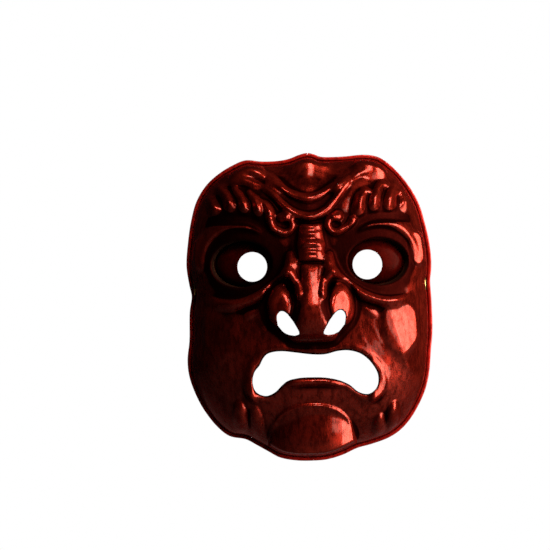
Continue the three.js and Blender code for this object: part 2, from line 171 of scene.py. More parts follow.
mouthLoop = smoothLine([
    (0, -31.8), (9, -31.9), (18, -29.8), (26, -29.8), (33.5, -32.4), (40, -38.4), (44.2, -46.5),
    (43.3, -54.6), (37.5, -59), (31, -57.4), (25.5, -52.8), (19, -49.6), (10, -47.4), (0, -46.9),
    (-9, -47.2), (-16.5, -49), (-20.5, -52), (-25.5, -56.8), (-31.5, -59), (-37.6, -56.4), (-40, -50),
    (-38.6, -43), (-35, -38.4), (-33, -34.4), (-29.6, -30.8), (-21, -29.3), (-12, -30.2),
], 5, closed=True)
nostrilRight = smoothLine([
    (20.2, -2.3), (22.6, -5), (22, -10.5), (18.6, -15.8), (13.5, -18), (8.6, -17.4), (10.6, -12.4),
    (14.4, -6.4), (17.2, -3.2),
], 5, closed=True)


# The carved relief, as heights over the plain dome.

gridGap = shell["gridStep"]
gridX = np.arange(-88, 88 + gridGap, gridGap)
gridZ = np.arange(-110, 110 + gridGap, gridGap)
xs, zs = np.meshgrid(gridX, gridZ)
side = np.abs(xs)


def softened(field, radius):
    # Gaussian blur in millimetres.
    fx = np.fft.rfftfreq(field.shape[1], gridGap)
    fz = np.fft.fftfreq(field.shape[0], gridGap)
    weight = np.exp(-2 * (math.pi * radius) ** 2 * (fx[None, :] ** 2 + fz[:, None] ** 2))
    return np.fft.irfft2(np.fft.rfft2(field) * weight, field.shape)


def swelling(cx, cz, rx, rz, high, edge=1.5, turn=0.0, x=None):
    x = xs if x is None else x
    c, s = math.cos(math.radians(turn)), math.sin(math.radians(turn))
    u, w = (x - cx) * c + (zs - cz) * s, (zs - cz) * c - (x - cx) * s
    q = (u / rx) ** 2 + (w / rz) ** 2
    return high * np.clip(1 - q, 0, None) ** edge


def ridge(points, wide, high, taper=0.2, edge=1.6):
    # A rounded cord along a line, thinning out over a share of its length at both ends.
    away, along = distanceTo(xs, zs, smoothLine(points, 6))
    fade = smoothStep(0, max(taper, 1e-3), along) * smoothStep(0, max(taper, 1e-3), 1 - along)
    width = wide * (0.45 + 0.55 * fade)
    return high * fade * np.clip(1 - (away / width) ** 2, 0, None) ** edge


def bothSides(points, wide, high, **more):
    return ridge(points, wide, high, **more) + ridge(mirrored(points), wide, high, **more)


def socketPlane(depth):
    return depth - math.tan(eye["tilt"]) * (side - eye["x"])


def domeHeight(share, inset=0.0):
    # The plain dome, or the same dome some way inside it.
    bulge = np.clip(1 - share ** shell["roundness"], 0, None) ** (1 / shell["fullness"])
    return (shell["depth"] - inset) * bulge


def plainDome():
    share = np.hypot(xs, zs) / (outlineRadius(np.arctan2(zs, xs)) - shell["rimWide"] - shell["gap"])
    return share, domeHeight(share)


cheekBand = [(8, 46), (10, 38), (14, 29), (21, 21.6), (30, 14.6), (41, 8.4), (53, 5), (65, 5), (74, 8)]
socketLoop = smoothLine([
    (17.5, 43), (18, 33), (21.5, 25), (29, 18.4), (39, 12.2), (50, 8.8), (61, 9.4), (69.5, 15), (73, 26),
    (71, 38), (63, 47.6), (49, 52), (34, 50), (23, 47),
], 4, closed=True)


def coarseRelief(dome):
    high = np.zeros(xs.shape)
    lumps = [
        swelling(1, 95, 11, 18, 5, 1.1),
        swelling(0, -44, 62, 31, 8, 1.6),
        swelling(57, -16, 21, 23, 5, 1.2, x=side),
        swelling(44, 90, 13, 10.5, 6.5, 0.8, turn=-35, x=side),
        swelling(48, 71, 30, 16, 8, 0.8, x=side),
        swelling(18, 56.5, 11, 9.5, 8, 0.7, x=side),
        swelling(0, 58, 13, 12, 4, 1.2),
    ]
    for lump in lumps:
        high = smoothMax(high, lump, 2)
    # The nose: a bulb with crisp edges, the wings on it, and the crest running down to its tip.
    around = (xs / 28.5) ** 2 + ((zs + 6.5) / 18.5) ** 2
    bulb = 23 * np.clip(1 - around ** 1.25, 0, None) ** 0.62
    high = smoothMax(high, bulb, 1.0)
    trunk = 18 * np.clip(1 - (side / 13.5) ** 4 - ((zs - 6) / 25) ** 2, 0, None) ** 0.6
    high = smoothMax(high, trunk, 1.5)
    q = ((side - 20.4) / 10.2) ** 2 + ((zs - 1.5) / 15) ** 2
    slope = np.where(xs > 0, 0.6, 0.12)
    wing = (20.5 - slope * (side - 20) - 0.3 * (zs - 4)) * np.clip(1 - q ** 2.4, 0, None) ** 0.42
    high = smoothMax(high, wing, 2)
    stations = np.array([
        (66, 0, 10), (60, 3, 10), (54, 8, 10), (48, 10, 10.5), (42, 12.5, 11.5), (34, 14, 12),
        (29, 14.5, 12), (24, 17, 11.5), (12, 22.5, 12.5), (2, 27, 15), (-6, 28.4, 18), (-13, 27, 19),
        (-18, 22, 19), (-22, 14, 18), (-25, 4, 16), (-28, 0, 14),
    ])[::-1]
    noseHigh = np.interp(zs, stations[:, 0], stations[:, 1])
    noseHalf = np.interp(zs, stations[:, 0], stations[:, 2])
    crest = np.clip(1 - np.abs((xs - 1) / noseHalf) ** 3.6, 0, None)
    high = smoothMax(high, softened(noseHigh, 1.2) * crest, 5)
    high = smoothMax(high, swelling(16, 25, 13, 15, 15, 0.6, turn=-35, x=side), 3)
    # The band from the root of the nose over each cheek: the lower edge of the socket.
    high = smoothMax(high, bothSides(cheekBand, 8.0, 9.5, taper=0.24, edge=1.0), 2)
    # The eye sockets, sunk to the plane that the lids lie in.
    floor = np.minimum(0, socketPlane(eye["lidDepth"]) - dome)
    reach = smoothStep(-3.0, 5.5, loopDistance(side, zs, socketLoop))
    return floor + (high - floor) * reach


tongueLines = [
    [(33, 58), (34, 66), (35.5, 73), (38.5, 77.5), (42, 77)],
    [(42.5, 61), (43.8, 68), (46, 76), (49.5, 81.5), (54, 82)],
    [(53, 62), (54.6, 69), (57, 77), (60.5, 83), (64, 82.4)],
    [(66.5, 61), (66.8, 67), (66, 73), (63, 77.6), (59.5, 76.5)],
    [(-25, 57), (-26, 63), (-28.5, 69), (-32, 71.5)],
    [(-33, 59), (-33.6, 66), (-36, 73), (-40, 78)],
    [(-42, 62), (-43.4, 69), (-46, 76), (-50, 81)],
    [(-52, 63), (-53, 70), (-56.5, 78), (-61.5, 83)],
    [(-62, 62), (-64, 68), (-67, 74), (-71, 77)],
]
scrollLines = [
    [(-17.5, 61.5), (-13, 60), (-11, 56), (-13.2, 52.2), (-18, 50.8), (-23.4, 52.6), (-26, 57.4),
     (-27.4, 63)],
    [(19, 61.5), (14.6, 60), (12.6, 56), (14.6, 52.2), (19.6, 50.8), (25.2, 52.4), (28.6, 56.4), (31, 61.5)],
]
chinLoop = smoothLine([
    (-29, -112), (-31, -98), (-30.4, -88), (-27.4, -78), (-20.6, -70), (-11, -66), (0, -64.9), (10, -66),
    (19, -70), (25.4, -77), (29, -87), (30.6, -98), (29, -112),
], 5, closed=True)


def foreheadDetail(high):
    # A boss at the hairline, then two broad folds that dip between the brows with a hollow between them.
    boss = np.clip(1 - ((xs - 1) / 20) ** 2 - ((zs - 86) / 28) ** 2, 0, None)
    high += smoothMax(27.5 + 10 * boss - dome - high, 0, 8) * smoothStep(0, 0.6, boss)
    temple = np.clip(1 - ((side - 41) / 14) ** 2 - ((zs - 88) / 14) ** 2, 0, None)
    high += smoothMax(26 + 11 * np.sqrt(temple) - dome - high, 0, 4) * smoothStep(0, 0.25, temple)
    upper = [(-47, 95), (-35, 92.5), (-24, 86.5), (-13, 77.5), (-1, 73.6), (8, 76), (17, 82.6), (26, 89.6),
             (38, 94)]
    lower = [(-45, 88), (-32, 84), (-22, 76), (-12, 65.8), (0, 61.4), (9, 64.6), (16, 72), (23, 81),
             (32, 88.4), (43, 92)]
    high += ridge(upper, 5.6, 6.6, taper=0.3, edge=1.2)
    high += ridge(lower, 5.0, 6.8, taper=0.3, edge=1.2)
    high -= ridge([(-30, 84.5), (-22, 79.5), (-12, 71.2), (0, 67.4), (9, 69.6), (18, 77.6), (26, 86)], 3.6,
                  4.6, taper=0.25, edge=1.0)
    high -= ridge([(-34, 96), (-22, 90.6), (-11, 83), (0, 79.4), (9, 81.4), (20, 88), (36, 96)], 4.0, 3.4,
                  taper=0.3, edge=1.0)
    high += ridge([(-55, 87), (-44, 86), (-36, 82.5), (-28, 78)], 4.2, 2.2, taper=0.4)
    high += ridge([(-63, 82), (-52, 84.5), (-42, 81.5)], 3.4, 1.6, taper=0.4)
    return high - ridge([(-11, 59), (0, 57.4), (11, 59)], 2.6, 4, taper=0.2)


def browDetail(high):
    # Locks of hair side by side: each rises from the shadow under the brow to a crest that curls over.
    locks = np.zeros(xs.shape)
    for points in tongueLines:
        away, along = distanceTo(xs, zs, smoothLine(points, 6))
        width = 6.6 - 3.4 * along ** 1.5
        tall = 8.5 * (1 - 0.4 * along ** 2) * smoothStep(-0.1, 0.5, along)
        locks = np.maximum(locks, tall * np.clip(1 - (away / width) ** 1.2, 0, None))
    high = smoothMax(high, high * 0.92 + locks, 0.5)
    high -= bothSides([(80, 62), (66, 59.4), (52, 59.6), (40, 58.4), (31, 53), (24, 48.4), (17, 46)], 4.2,
                      6.0, taper=0.4, edge=1.3)
    for points in scrollLines:
        high += ridge(points, 3.1, 4.0, taper=0.08, edge=0.8)
        high += swelling(points[0][0], points[0][1], 4.2, 4.2, 4.4, 0.6)
        middle = np.mean(points[1:6], axis=0)
        high -= swelling(middle[0], middle[1] + 0.3, 4, 4, 3.2, 1)
    return high


def noseDetail(high):
    # Wrinkles across the root of the nose.
    for level, half, tall in ((54.5, 8, 1.8), (49.3, 8, 1.7), (42.8, 9.5, 2.8), (37, 10, 1.6), (33, 11, 1.8)):
        bent = level + 0.02 * (xs - 1) ** 2 * (1 if level > 45 else -1)
        high += tall * np.exp(-((zs - bent) / 1.9) ** 2) * np.clip(1 - (np.abs(xs - 1) / half) ** 3, 0, None)
    high -= 2.6 * np.exp(-((zs - 30.2) / 1.2) ** 2) * np.clip(1 - (np.abs(xs - 1) / 10) ** 4, 0, None)
    # An arch springs from the crest over each wing, with a groove between them.
    high += bothSides([(8.6, 4), (9.4, 12), (11, 19.5), (14.4, 23.8), (21, 21)], 3.6, 5.0, taper=0.2,
                      edge=1.0)
    high -= bothSides([(13, 4), (12.6, 11), (15, 17.4), (20, 18.4), (26, 14.6), (30, 7), (31, -3),
                       (29.6, -13), (25, -21)],
                      2.3, 4.2, taper=0.2, edge=0.8)
    return high - bothSides([(20, -25.4), (10, -26.4), (0, -26.8)], 2.0, 2.4, taper=0.25)


def eyeDetail(high):
    # A great fold runs over each eye from the brow to the temple.
    fold = [(25, 46), (34, 51.6), (45, 55), (56, 54.4), (66, 49.6), (73.4, 41), (76, 32), (74, 22)]
    high += bothSides(fold, 7.5, 5.6, taper=0.16, edge=1.6)
    facet = 35.5 - 0.66 * (side - 73) - dome
    spot = swelling(73, 38.5, 6.5, 12.5, 1.0, 1.0, turn=6, x=side)
    high += smoothMax(facet - high, 0, 1.0) * smoothStep(0, 0.3, spot)
    return high + swelling(21.5, 38, 7.5, 7, 3.0, 2.0, x=side)


def mouthDetail(high):
    away = loopDistance(xs, zs, mouthLoop)
    corner = smoothStep(24, 42, side) * smoothStep(-28, -42, zs)
    high += (0.9 + 1.6 * corner) * np.exp(-((away - 3.0) / (1.9 + 0.8 * corner)) ** 2)
    facet = 50.5 - 0.66 * (side - 46) + 0.1 * (zs + 46) - dome
    high += (smoothMax(facet - high, 0, 1.0) * smoothStep(7.0, 5.2, away)
             * smoothStep(37, 42, side) * smoothStep(-31, -38, zs))
    high += ridge([(-21, -53), (-12, -50.8), (0, -50.2), (12, -50.8), (23, -54.4)], 4.2, 2.6, taper=0.25)
    high -= ridge([(-36, -66), (-20, -61.6), (0, -60), (20, -61.6), (36, -66)], 8, 7.5, taper=0.3, edge=1.3)
    # The crease from nose to jaw.
    return high - bothSides([(33, -4), (37, -16), (43, -27), (51, -38), (54, -50)], 4.5, 2.4, taper=0.35)


cheek = {"depth": 56.5, "from": 50.0, "outward": 0.68, "upward": 0.1, "curve": 0.004, "turn": 0.03}
cheekLoop = smoothLine([
    (45, 0), (52, 3), (60, 3.8), (67, 2.4), (71.6, -2), (73.4, -9), (73.8, -22), (73, -36), (70, -48),
    (60, -48), (47, -32), (42, -14),
], 4, closed=True)


def cheekDetail(high):
    # The cheekbone is a flat plane turned outwards, crisp along its top and outer edges.
    plane = cheek["depth"] - cheek["outward"] * (side - cheek["from"]) - cheek["upward"] * (zs + 12) - dome
    plane -= cheek["curve"] * ((side - 63) ** 2 + 0.5 * (zs + 10) ** 2)
    slant = 0.918 * (side - 50) + 0.397 * (zs - 2)
    plane -= cheek["turn"] * np.clip(3 - slant, 0, None) ** 2
    away = loopDistance(side, zs, cheekLoop)
    soft = 1.8 + 13 * smoothStep(56, 42, side) + 18 * smoothStep(-20, -42, zs)
    gain = (smoothMax(plane, high, 7) - high) * smoothStep(0, -1, away / soft)
    high = high + gain * np.where(xs > 0, 1, 0.5)
    high += bothSides([(34, 1), (40, -3.5), (46, -8)], 4.2, 1.4, taper=0.45)
    return high - bothSides([(34, 3.4), (41, 0), (48, 0)], 2.6, 1.8, taper=0.35)


def chinDetail(high):
    # The ball of the chin, stepping up crisply from the jaw, with a bead round its edge.
    within = -loopDistance(xs, zs, chinLoop)
    swell = np.sqrt(np.clip(1 - ((xs - 1) / 34) ** 2, 0, None))
    ball = 22 + 25 * swell - 0.0035 * (zs + 76) ** 2 - dome
    raised = np.maximum(ball, 0) * smoothStep(0, 2.0, within) + 1.4 * smoothStep(0, 1.0, within)
    ball = np.where(within > 0, raised, 0)
    high = smoothMax(high, ball, 0.5)
    high += 1.0 * np.exp(-((within - 1.2) / 0.7) ** 2) * smoothStep(-99, -92, zs)
    folds = ((54.8, -76, 5, 12, 6.5), (45, -82, 4.6, 10, 5), (-49, -74, 5.4, 13, 4.5),
             (-38, -77, 4.8, 12, 3.8))
    for cx, cz, rx, rz, tall in folds:
        high += swelling(cx, cz, rx, rz, tall, 0.9, turn=-6 if cx > 0 else 6)
    return high


def addDetail(high):
    for detail in (foreheadDetail, browDetail, noseDetail, eyeDetail, cheekDetail, mouthDetail, chinDetail):
        high = detail(high)
    return high


domeShare, dome = plainDome()
edgeFade = smoothStep(1.0, 0.9, domeShare)
nearEdge = smoothStep(0.998, 0.955, domeShare)
coarse = coarseRelief(dome)
reliefOut = addDetail(coarse.copy())
reliefOut = softened(reliefOut, 0.5) * nearEdge


def rolledInside(height, wall):
    # Depth of the hollow: a ball as big as the wall is thick rolls along the inside of the front.
    out = height - wall
    steps = int(wall / gridGap)
    for i in range(-steps, steps + 1, 2):
        for j in range(-steps, steps + 1, 2):
            r2 = (i * i + j * j) * gridGap * gridGap
            if 0 < r2 <= wall * wall:
                out = np.minimum(out, np.roll(height, (i, j), (0, 1)) - math.sqrt(wall * wall - r2))
    return out


def innerRelief():
    height = dome + coarse * edgeFade
    inner = rolledInside(height, shell["wall"])
    radius = outlineRadius(np.arctan2(zs, xs)) - shell["rimWide"] - shell["gap"] - shell["wall"]
    q = np.hypot(xs, zs) / radius
    plain = domeHeight(q, shell["wall"])
    return softened(np.where(q < 1, inner - plain, 0) * smoothStep(0.97, 0.84, q), 1.2)


gouge = {"wide": 13.0, "high": 6.5, "deep": 0.45}


def gougeMarks():
    # Rows of shallow scoops left by a gouge, each row shifted a little from the last.
    row = np.floor(zs / gouge["high"] + 0.25 * np.sin(xs / 19))
    fv = zs / gouge["high"] + 0.25 * np.sin(xs / 19) - row
    shift = np.modf(np.abs(np.sin(row * 12.9898)) * 43.75)[0]
    fu = np.mod(xs / gouge["wide"] + shift, 1)
    return gouge["deep"] * (1 - (2 * fv - 1) ** 2) * (0.45 + 0.55 * (1 - (2 * fu - 1) ** 2))


reliefIn = innerRelief() + gougeMarks() * smoothStep(0.93, 0.8, domeShare)
browShadow = bothSides([(84, 60), (72, 59), (62, 58.6), (52, 59.2), (40, 58), (31, 53), (24, 48.6),
                        (14, 46)], 9.5, 0.9, taper=0.42, edge=1.3)
lidShadow = bothSides([(24, 45), (34, 51), (45, 54), (56, 53), (65, 48)], 8, 0.5, taper=0.3)
noseShadow = bothSides([(7, 8), (9.5, -2), (13, -14)], 5.5, 0.9, taper=0.3)
noseShadow = noseShadow + swelling(1, 93, 10, 12, 0.3, 0.6)
mouthAway = loopDistance(xs, zs, mouthLoop)
nostrilAway = np.minimum(loopDistance(xs, zs, nostrilRight), loopDistance(xs, zs, nostrilRight * [-1, 1]))


def shadowTable():
    # Painted shade: dark in grooves, under the brows, in the sockets and along the cut edges, and painted
    # light (below zero) on the crests.
    height = dome + reliefOut
    creaseShading = (softened(height, 3.2) - height) / 2.4
    socketShade = 0.85 * smoothStep(4, -8, loopDistance(side, zs, socketLoop))
    # Painted shade: a dark line round the mouth and nostrils.
    edges = 0.8 * smoothStep(1.5, 0.5, np.minimum(mouthAway, nostrilAway))
    # The strongest of the painted shadows at each point.
    dark = np.maximum(np.maximum(browShadow, socketShade), edges)
    return np.clip(np.maximum(creaseShading, 0) + dark + lidShadow + noseShadow + np.minimum(creaseShading, 0), -1, 1)


shadows = shadowTable()
frontHeight = dome + reliefOut
slopeOut = np.hypot(*np.gradient(reliefOut, gridGap))
slopeIn = np.hypot(*np.gradient(reliefIn, gridGap))
print("relief drawn")


def lookUp(table, x, z):
    # Bilinear reading of a table over the face.
    u = np.clip((x - gridX[0]) / gridGap, 0, len(gridX) - 1.001)
    w = np.clip((z - gridZ[0]) / gridGap, 0, len(gridZ) - 1.001)
    i, j = u.astype(int), w.astype(int)
    fu, fw = u - i, w - j
    return ((table[j, i] * (1 - fu) + table[j, i + 1] * fu) * (1 - fw)
            + (table[j + 1, i] * (1 - fu) + table[j + 1, i + 1] * fu) * fw)


def domeDistance(x, depth, z, relief, slope, inset):
    # First-order distance to a dome with relief on it, negative inside.
    r = np.hypot(x, z)
    radius = outlineRadius(np.arctan2(z, x)) - shell["rimWide"] - shell["gap"] - inset
    most = shell["depth"] - inset
    a, b = shell["roundness"], shell["fullness"]
    rise = np.clip(depth - lookUp(relief, x, z), 0, None) / most
    q = (r / radius) ** a + rise ** b
    across = a * (r / radius) ** (a - 1) / radius
    upward = b * rise ** (b - 1) / most
    tilt = lookUp(slope, x, z)
    return (q - 1) / np.sqrt(across**2 + upward**2 * (1 + tilt**2) + 1e-5)


def eyeFrame(x, depth, z):
    # Across, out along the eye's axis, and up, for whichever eye is nearer.
    dx = (np.abs(x) - eye["x"])
    dd = depth - (eye["lidDepth"] - shell["wall"] + eye["recess"])
    c, s = math.cos(eye["tilt"]), math.sin(eye["tilt"])
    return dx * c - dd * s, dx * s + dd * c, z - eye["z"]


def ellipseDistance(u, w, a, b):
    e = np.hypot(u / a, w / b)
    return (e - 1) / np.maximum(np.hypot(u / a**2, w / b**2) / np.maximum(e, 1e-3), 1e-3)


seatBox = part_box("right_cord_eyelet")
outerSeat = seatBox[1].x / mm - 0.8 - shell["gap"]
innerSeat = seatBox[0].x / mm + 0.8 + 2 * shell["gap"]


def shellDistance(x, depth, z):
    front = domeDistance(x, depth, z, reliefOut, slopeOut, 0)
    hollow = domeDistance(x, depth, z, reliefIn, slopeIn, shell["wall"])
    u, out, w = eyeFrame(x, depth, z)
    away = roundedMax(front, -hollow, 1.0)
    away = roundedMax(away, -depth, 0.8)
    behind = np.clip(lookUp(frontHeight, x, z) - depth, 0, 20)
    away = roundedMax(away, -(lookUp(mouthAway, x, z) - 0.1 * behind), 1.6)
    away = roundedMax(away, -(lookUp(nostrilAway, x, z) - 0.22 * behind), 1.2)
    away = roundedMax(away, -ellipseDistance(u, w, eye["across"] + 0.6, eye["up"] + 0.6), 1.8)
    seat = np.maximum(ellipseDistance(u, w, eye["across"] + eye["flange"], eye["up"] + eye["flange"]), out)
    away = roundedMax(away, -seat, 0.4)
    # The cord hole in each side wall, with a flat for the eyelet outside and for its washer inside.
    ax = np.abs(x)
    ring = np.hypot(depth - cordHole["inward"], z - cordHole["up"])
    away = roundedMax(away, -(ring - cordHole["radius"]), 0.4)
    flats = np.maximum(ring - cordHole["flangeRadius"], np.maximum(outerSeat - ax, -(ax - 40)))
    away = roundedMax(away, -flats, 0.3)
    flats = np.maximum(ring - cordHole["flangeRadius"], ax - innerSeat)
    return roundedMax(away, -np.where(ax > 50, flats, 9), 0.3), front, hollow


# The shell's mesh: one vertex in each grid cell that the surface passes, joined by squares.

def surfaceMesh(step):
    axes = [np.arange(lo, hi + step, step) for lo, hi in ((-86, 86), (-1.5, 90), (-107.5, 107.5))]
    field = np.empty([len(a) for a in axes], np.float32)
    gx, gz = np.meshgrid(axes[0], axes[2], indexing="ij")
    for k, depth in enumerate(axes[1]):
        field[:, k, :] = shellDistance(gx, np.full(gx.shape, depth), gz)[0]
    solid = field < 0
    shape = np.array(field.shape) - 1
    corners = [np.array(c) for c in np.ndindex(2, 2, 2)]

    def cut(a, c):
        return a[c[0]:c[0] + shape[0], c[1]:c[1] + shape[1], c[2]:c[2] + shape[2]]

    count = sum(cut(solid, c).astype(np.int8) for c in corners)
    cells = np.argwhere((count > 0) & (count < 8))
    number = np.full(shape, -1, np.int64)
    number[tuple(cells.T)] = np.arange(len(cells))
    total = np.zeros((len(cells), 3))
    hits = np.zeros(len(cells))
    for c in corners:
        for axis in range(3):
            if c[axis]:
                continue
            d = c.copy()
            d[axis] = 1
            fa = field[tuple((cells + c).T)]
            fb = field[tuple((cells + d).T)]
            crossed = (fa < 0) != (fb < 0)
            t = np.where(crossed, fa / np.where(crossed, fa - fb, 1), 0)
            at = c + t[:, None] * (d - c)
            total += at * crossed[:, None]
            hits += crossed
    points = (cells + total / hits[:, None]) * step + [a[0] for a in axes]
    faces = []
    for axis in range(3):
        halves = (range(shape[axis]), range(1, shape[axis] + 1))
        a, b = [np.take(solid, half, axis) for half in halves]
        edges = np.argwhere(a != b)
        u, v = [(axis + 1) % 3, (axis + 2) % 3]
        ok = (edges[:, u] > 0) & (edges[:, v] > 0) & (edges[:, u] < shape[u]) & (edges[:, v] < shape[v])
        edges = edges[ok]
        outward = a[tuple(edges.T)]
        ring = []
        for du, dv in ((0, 0), (-1, 0), (-1, -1), (0, -1)):
            cell = edges.copy()
            cell[:, u] += du
            cell[:, v] += dv
            ring.append(number[tuple(cell.T)])
        ring = np.stack(ring, 1)
        faces.append(np.where(outward[:, None], ring, ring[:, ::-1]))
    return points, np.concatenate(faces)


def settle(points, rounds=3, step=0.35):
    # Draws each vertex on to the true surface.
    h = 0.15
    for _ in range(rounds):
        value = shellDistance(*points.T)[0]
        slope = np.stack([
            shellDistance(*(points + h * axis).T)[0] - shellDistance(*(points - h * axis).T)[0]
            for axis in np.eye(3)
        ], 1) / (2 * h)
        move = -value[:, None] * slope / np.maximum((slope**2).sum(1), 0.25)[:, None]
        length = np.linalg.norm(move, axis=1, keepdims=True)
        points = points + move * np.minimum(1, step / np.maximum(length, 1e-9))
    return points


def newObject(name, mesh):
    made = bpy.data.objects.new(name, mesh)
    bpy.context.scene.collection.objects.link(made)
    return made


def attribute(mesh, name, values):
    mesh.attributes.new(name, "FLOAT", "POINT").data.foreach_set("value", np.asarray(values, np.float32))


def meshObject(name, points, faces):
    mesh = bpy.data.meshes.new(name)
    mesh.from_pydata([tuple(p) for p in points], [], [tuple(int(i) for i in f) for f in faces])
    mesh.polygons.foreach_set("use_smooth", [True] * len(mesh.polygons))
    mesh.update()
    return newObject(name, mesh)


def applied(made):
    # The object with its modifiers turned into plain mesh.
    mesh = bpy.data.meshes.new_from_object(made.evaluated_get(bpy.context.evaluated_depsgraph_get()))
    made.modifiers.clear()
    made.data = mesh
    return made


def places(mesh):
    co = np.empty(len(mesh.vertices) * 3)
    mesh.vertices.foreach_get("co", co)
    return co.reshape(-1, 3)


def makeShell():
    points, faces = surfaceMesh(shell["voxel"])
    points = settle(points)
    world = points * [mm, -mm, mm]
    made = meshObject("faceShell", world, faces[:, ::-1])
    front = shellDistance(*points.T)[1]
    inner = made.vertex_groups.new(name="inner")
    weight = smoothStep(1.5, 3.5, -front)
    for i in np.nonzero(weight > 0.5)[0]:
        inner.add([int(i)], 1.0, "REPLACE")
    thin = made.modifiers.new("thin", "DECIMATE")
    thin.vertex_group = "inner"
    innerShare = (weight > 0.5).mean()
    thin.ratio = 1 - innerShare * (1 - shell["insideKeep"])
    applied(made)
    at = places(made.data) / mm * [1, -1, 1]
    front, hollow = shellDistance(*at.T)[1:]
    attribute(made.data, "inside", smoothStep(0.5, 1.5, -front) * smoothStep(3.2, 1.8, np.abs(hollow)))
    attribute(made.data, "cutWall", smoothStep(0.5, 1.6, -front) * smoothStep(1.2, 2.4, hollow))
    # Painted shade from the shadow table, faded out at the back, plus more painted shade on the side walls
    # towards the rim.
    shadow = lookUp(shadows, at[:, 0], at[:, 2]) * smoothStep(3, 9, at[:, 1])
    attribute(made.data, "paintedShading", shadow + smoothStep(14, 5, at[:, 1]) * 0.7)
    made.data.polygons.foreach_set("use_smooth", [True] * len(made.data.polygons))
    print("shell", len(made.data.polygons), "faces")
    return made


shellPiece = makeShell()
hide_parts("face_shell")
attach(shellPiece, "root")


# Shared shader groups: each gives a colour, a mask or a height.

def newGroup(name, inputs, outputs):
    tree = bpy.data.node_groups.new(name, "ShaderNodeTree")
    for label, kind, value in inputs:
        tree.interface.new_socket(label, in_out="INPUT", socket_type=kind).default_value = value
    for label, kind in outputs:
        tree.interface.new_socket(label, in_out="OUTPUT", socket_type=kind)
    return tree, tree.nodes.new("NodeGroupInput"), tree.nodes.new("NodeGroupOutput")


def put(tree, kind, links=(), **settings):
    # Adds a node, sets what it has, and joins its inputs: a socket is joined, a value is set.
    node = tree.nodes.new(kind)
    for key, value in settings.items():
        setattr(node, key, value)
    for key, value in dict(links).items():
        if isinstance(value, bpy.types.NodeSocket):
            tree.links.new(value, node.inputs[key])
        else:
            node.inputs[key].default_value = value
    return node


def sums(tree, operation, a, b=None, c=None, clamp=False):
    values = {i: v for i, v in enumerate((a, b, c)) if v is not None}
    return put(tree, "ShaderNodeMath", values, operation=operation, use_clamp=clamp).outputs[0]


def ranged(tree, value, low, high, toLow=0.0, toHigh=1.0):
    links = {"Value": value, "From Min": low, "From Max": high, "To Min": toLow, "To Max": toHigh}
    return put(tree, "ShaderNodeMapRange", links, interpolation_type="SMOOTHSTEP").outputs["Result"]


def blended(tree, share, a, b):
    return put(tree, "ShaderNodeMix", {0: share, 6: a, 7: b}, data_type="RGBA").outputs[2]


def noise(tree, place, scale, detail=3.0, rough=0.55, stretch=None):
    if stretch:
        place = put(tree, "ShaderNodeMapping", {"Vector": place, "Scale": stretch}).outputs[0]
    links = {"Vector": place, "Scale": scale, "Detail": detail, "Roughness": rough}
    return put(tree, "ShaderNodeTexNoise", links).outputs["Fac"]


def scaledPlace(tree, given):
    # Object coordinates, drawn out by the group's own scale.
    place = put(tree, "ShaderNodeTexCoord").outputs["Object"]
    sized = put(tree, "ShaderNodeVectorMath", {0: place}, operation="SCALE")
    tree.links.new(given.outputs["Scale"], sized.inputs["Scale"])
    return sized.outputs[0]


def stippleGroup():
    # Fine skin of brushed lacquer: short upright strokes and small dimples.
    tree, given, result = newGroup("stipple", [("Scale", "NodeSocketFloat", 1.0),
                                               ("Strokes", "NodeSocketFloat", 0.5)],
                                   [("Height", "NodeSocketFloat"), ("Mottle", "NodeSocketFloat"),
                                    ("Streaks", "NodeSocketFloat")])
    place = scaledPlace(tree, given)
    dimples = noise(tree, place, 900.0, 2.0, 0.6)
    strokes = noise(tree, place, 700.0, 2.0, 0.5, (1.0, 1.0, 0.28))
    height = sums(tree, "ADD", dimples, sums(tree, "MULTIPLY", strokes, given.outputs["Strokes"]))
    tree.links.new(height, result.inputs["Height"])
    tree.links.new(noise(tree, place, 60.0, 4.0, 0.6), result.inputs["Mottle"])
    tree.links.new(noise(tree, place, 340.0, 4.0, 0.7, (1.0, 1.0, 0.45)), result.inputs["Streaks"])
    return tree


def wearAndShadeGroup():
    # Rubbed wear and painted highlight on the crests, and painted shade in the hollows, both broken up by
    # noise.
    tree, given, result = newGroup(
        "wearAndShade", [("Relief", "NodeSocketFloat", 0.0), ("Amount", "NodeSocketFloat", 0.5),
                 ("Scale", "NodeSocketFloat", 1.0)],
        [("RubbedAndLit", "NodeSocketFloat"), ("PaintedShade", "NodeSocketFloat")])
    patches = ranged(tree, noise(tree, scaledPlace(tree, given), 130.0, 5.0, 0.65), 0.35, 0.7)
    crest = ranged(tree, sums(tree, "MULTIPLY", given.outputs["Relief"], -1.0), 0.08, 0.6)
    rubbedAndLitMask = sums(tree, "MULTIPLY", crest, sums(tree, "MULTIPLY_ADD", patches, 0.7, 0.3))
    rubbedAndLitMask = sums(tree, "MULTIPLY", rubbedAndLitMask, given.outputs["Amount"], clamp=True)
    tree.links.new(rubbedAndLitMask, result.inputs["RubbedAndLit"])
    hollow = ranged(tree, given.outputs["Relief"], 0.02, 0.55)
    shadeMask = sums(tree, "MULTIPLY", hollow, sums(tree, "MULTIPLY_ADD", patches, 0.25, 0.75), clamp=True)
    tree.links.new(shadeMask, result.inputs["PaintedShade"])
    return tree


def dustGroup():
    tree, given, result = newGroup("dust", [("Amount", "NodeSocketFloat", 0.2)],
                                   [("Mask", "NodeSocketFloat")])
    place = put(tree, "ShaderNodeTexCoord").outputs["Object"]
    clouds = ranged(tree, noise(tree, place, 45.0, 6.0, 0.7), 0.45, 0.75)
    specks = ranged(tree, noise(tree, place, 1500.0, 1.0, 0.5), 0.62, 0.72)
    both = sums(tree, "ADD", sums(tree, "MULTIPLY", clouds, 0.5), specks)
    tree.links.new(sums(tree, "MULTIPLY", both, given.outputs["Amount"], clamp=True), result.inputs["Mask"])
    return tree


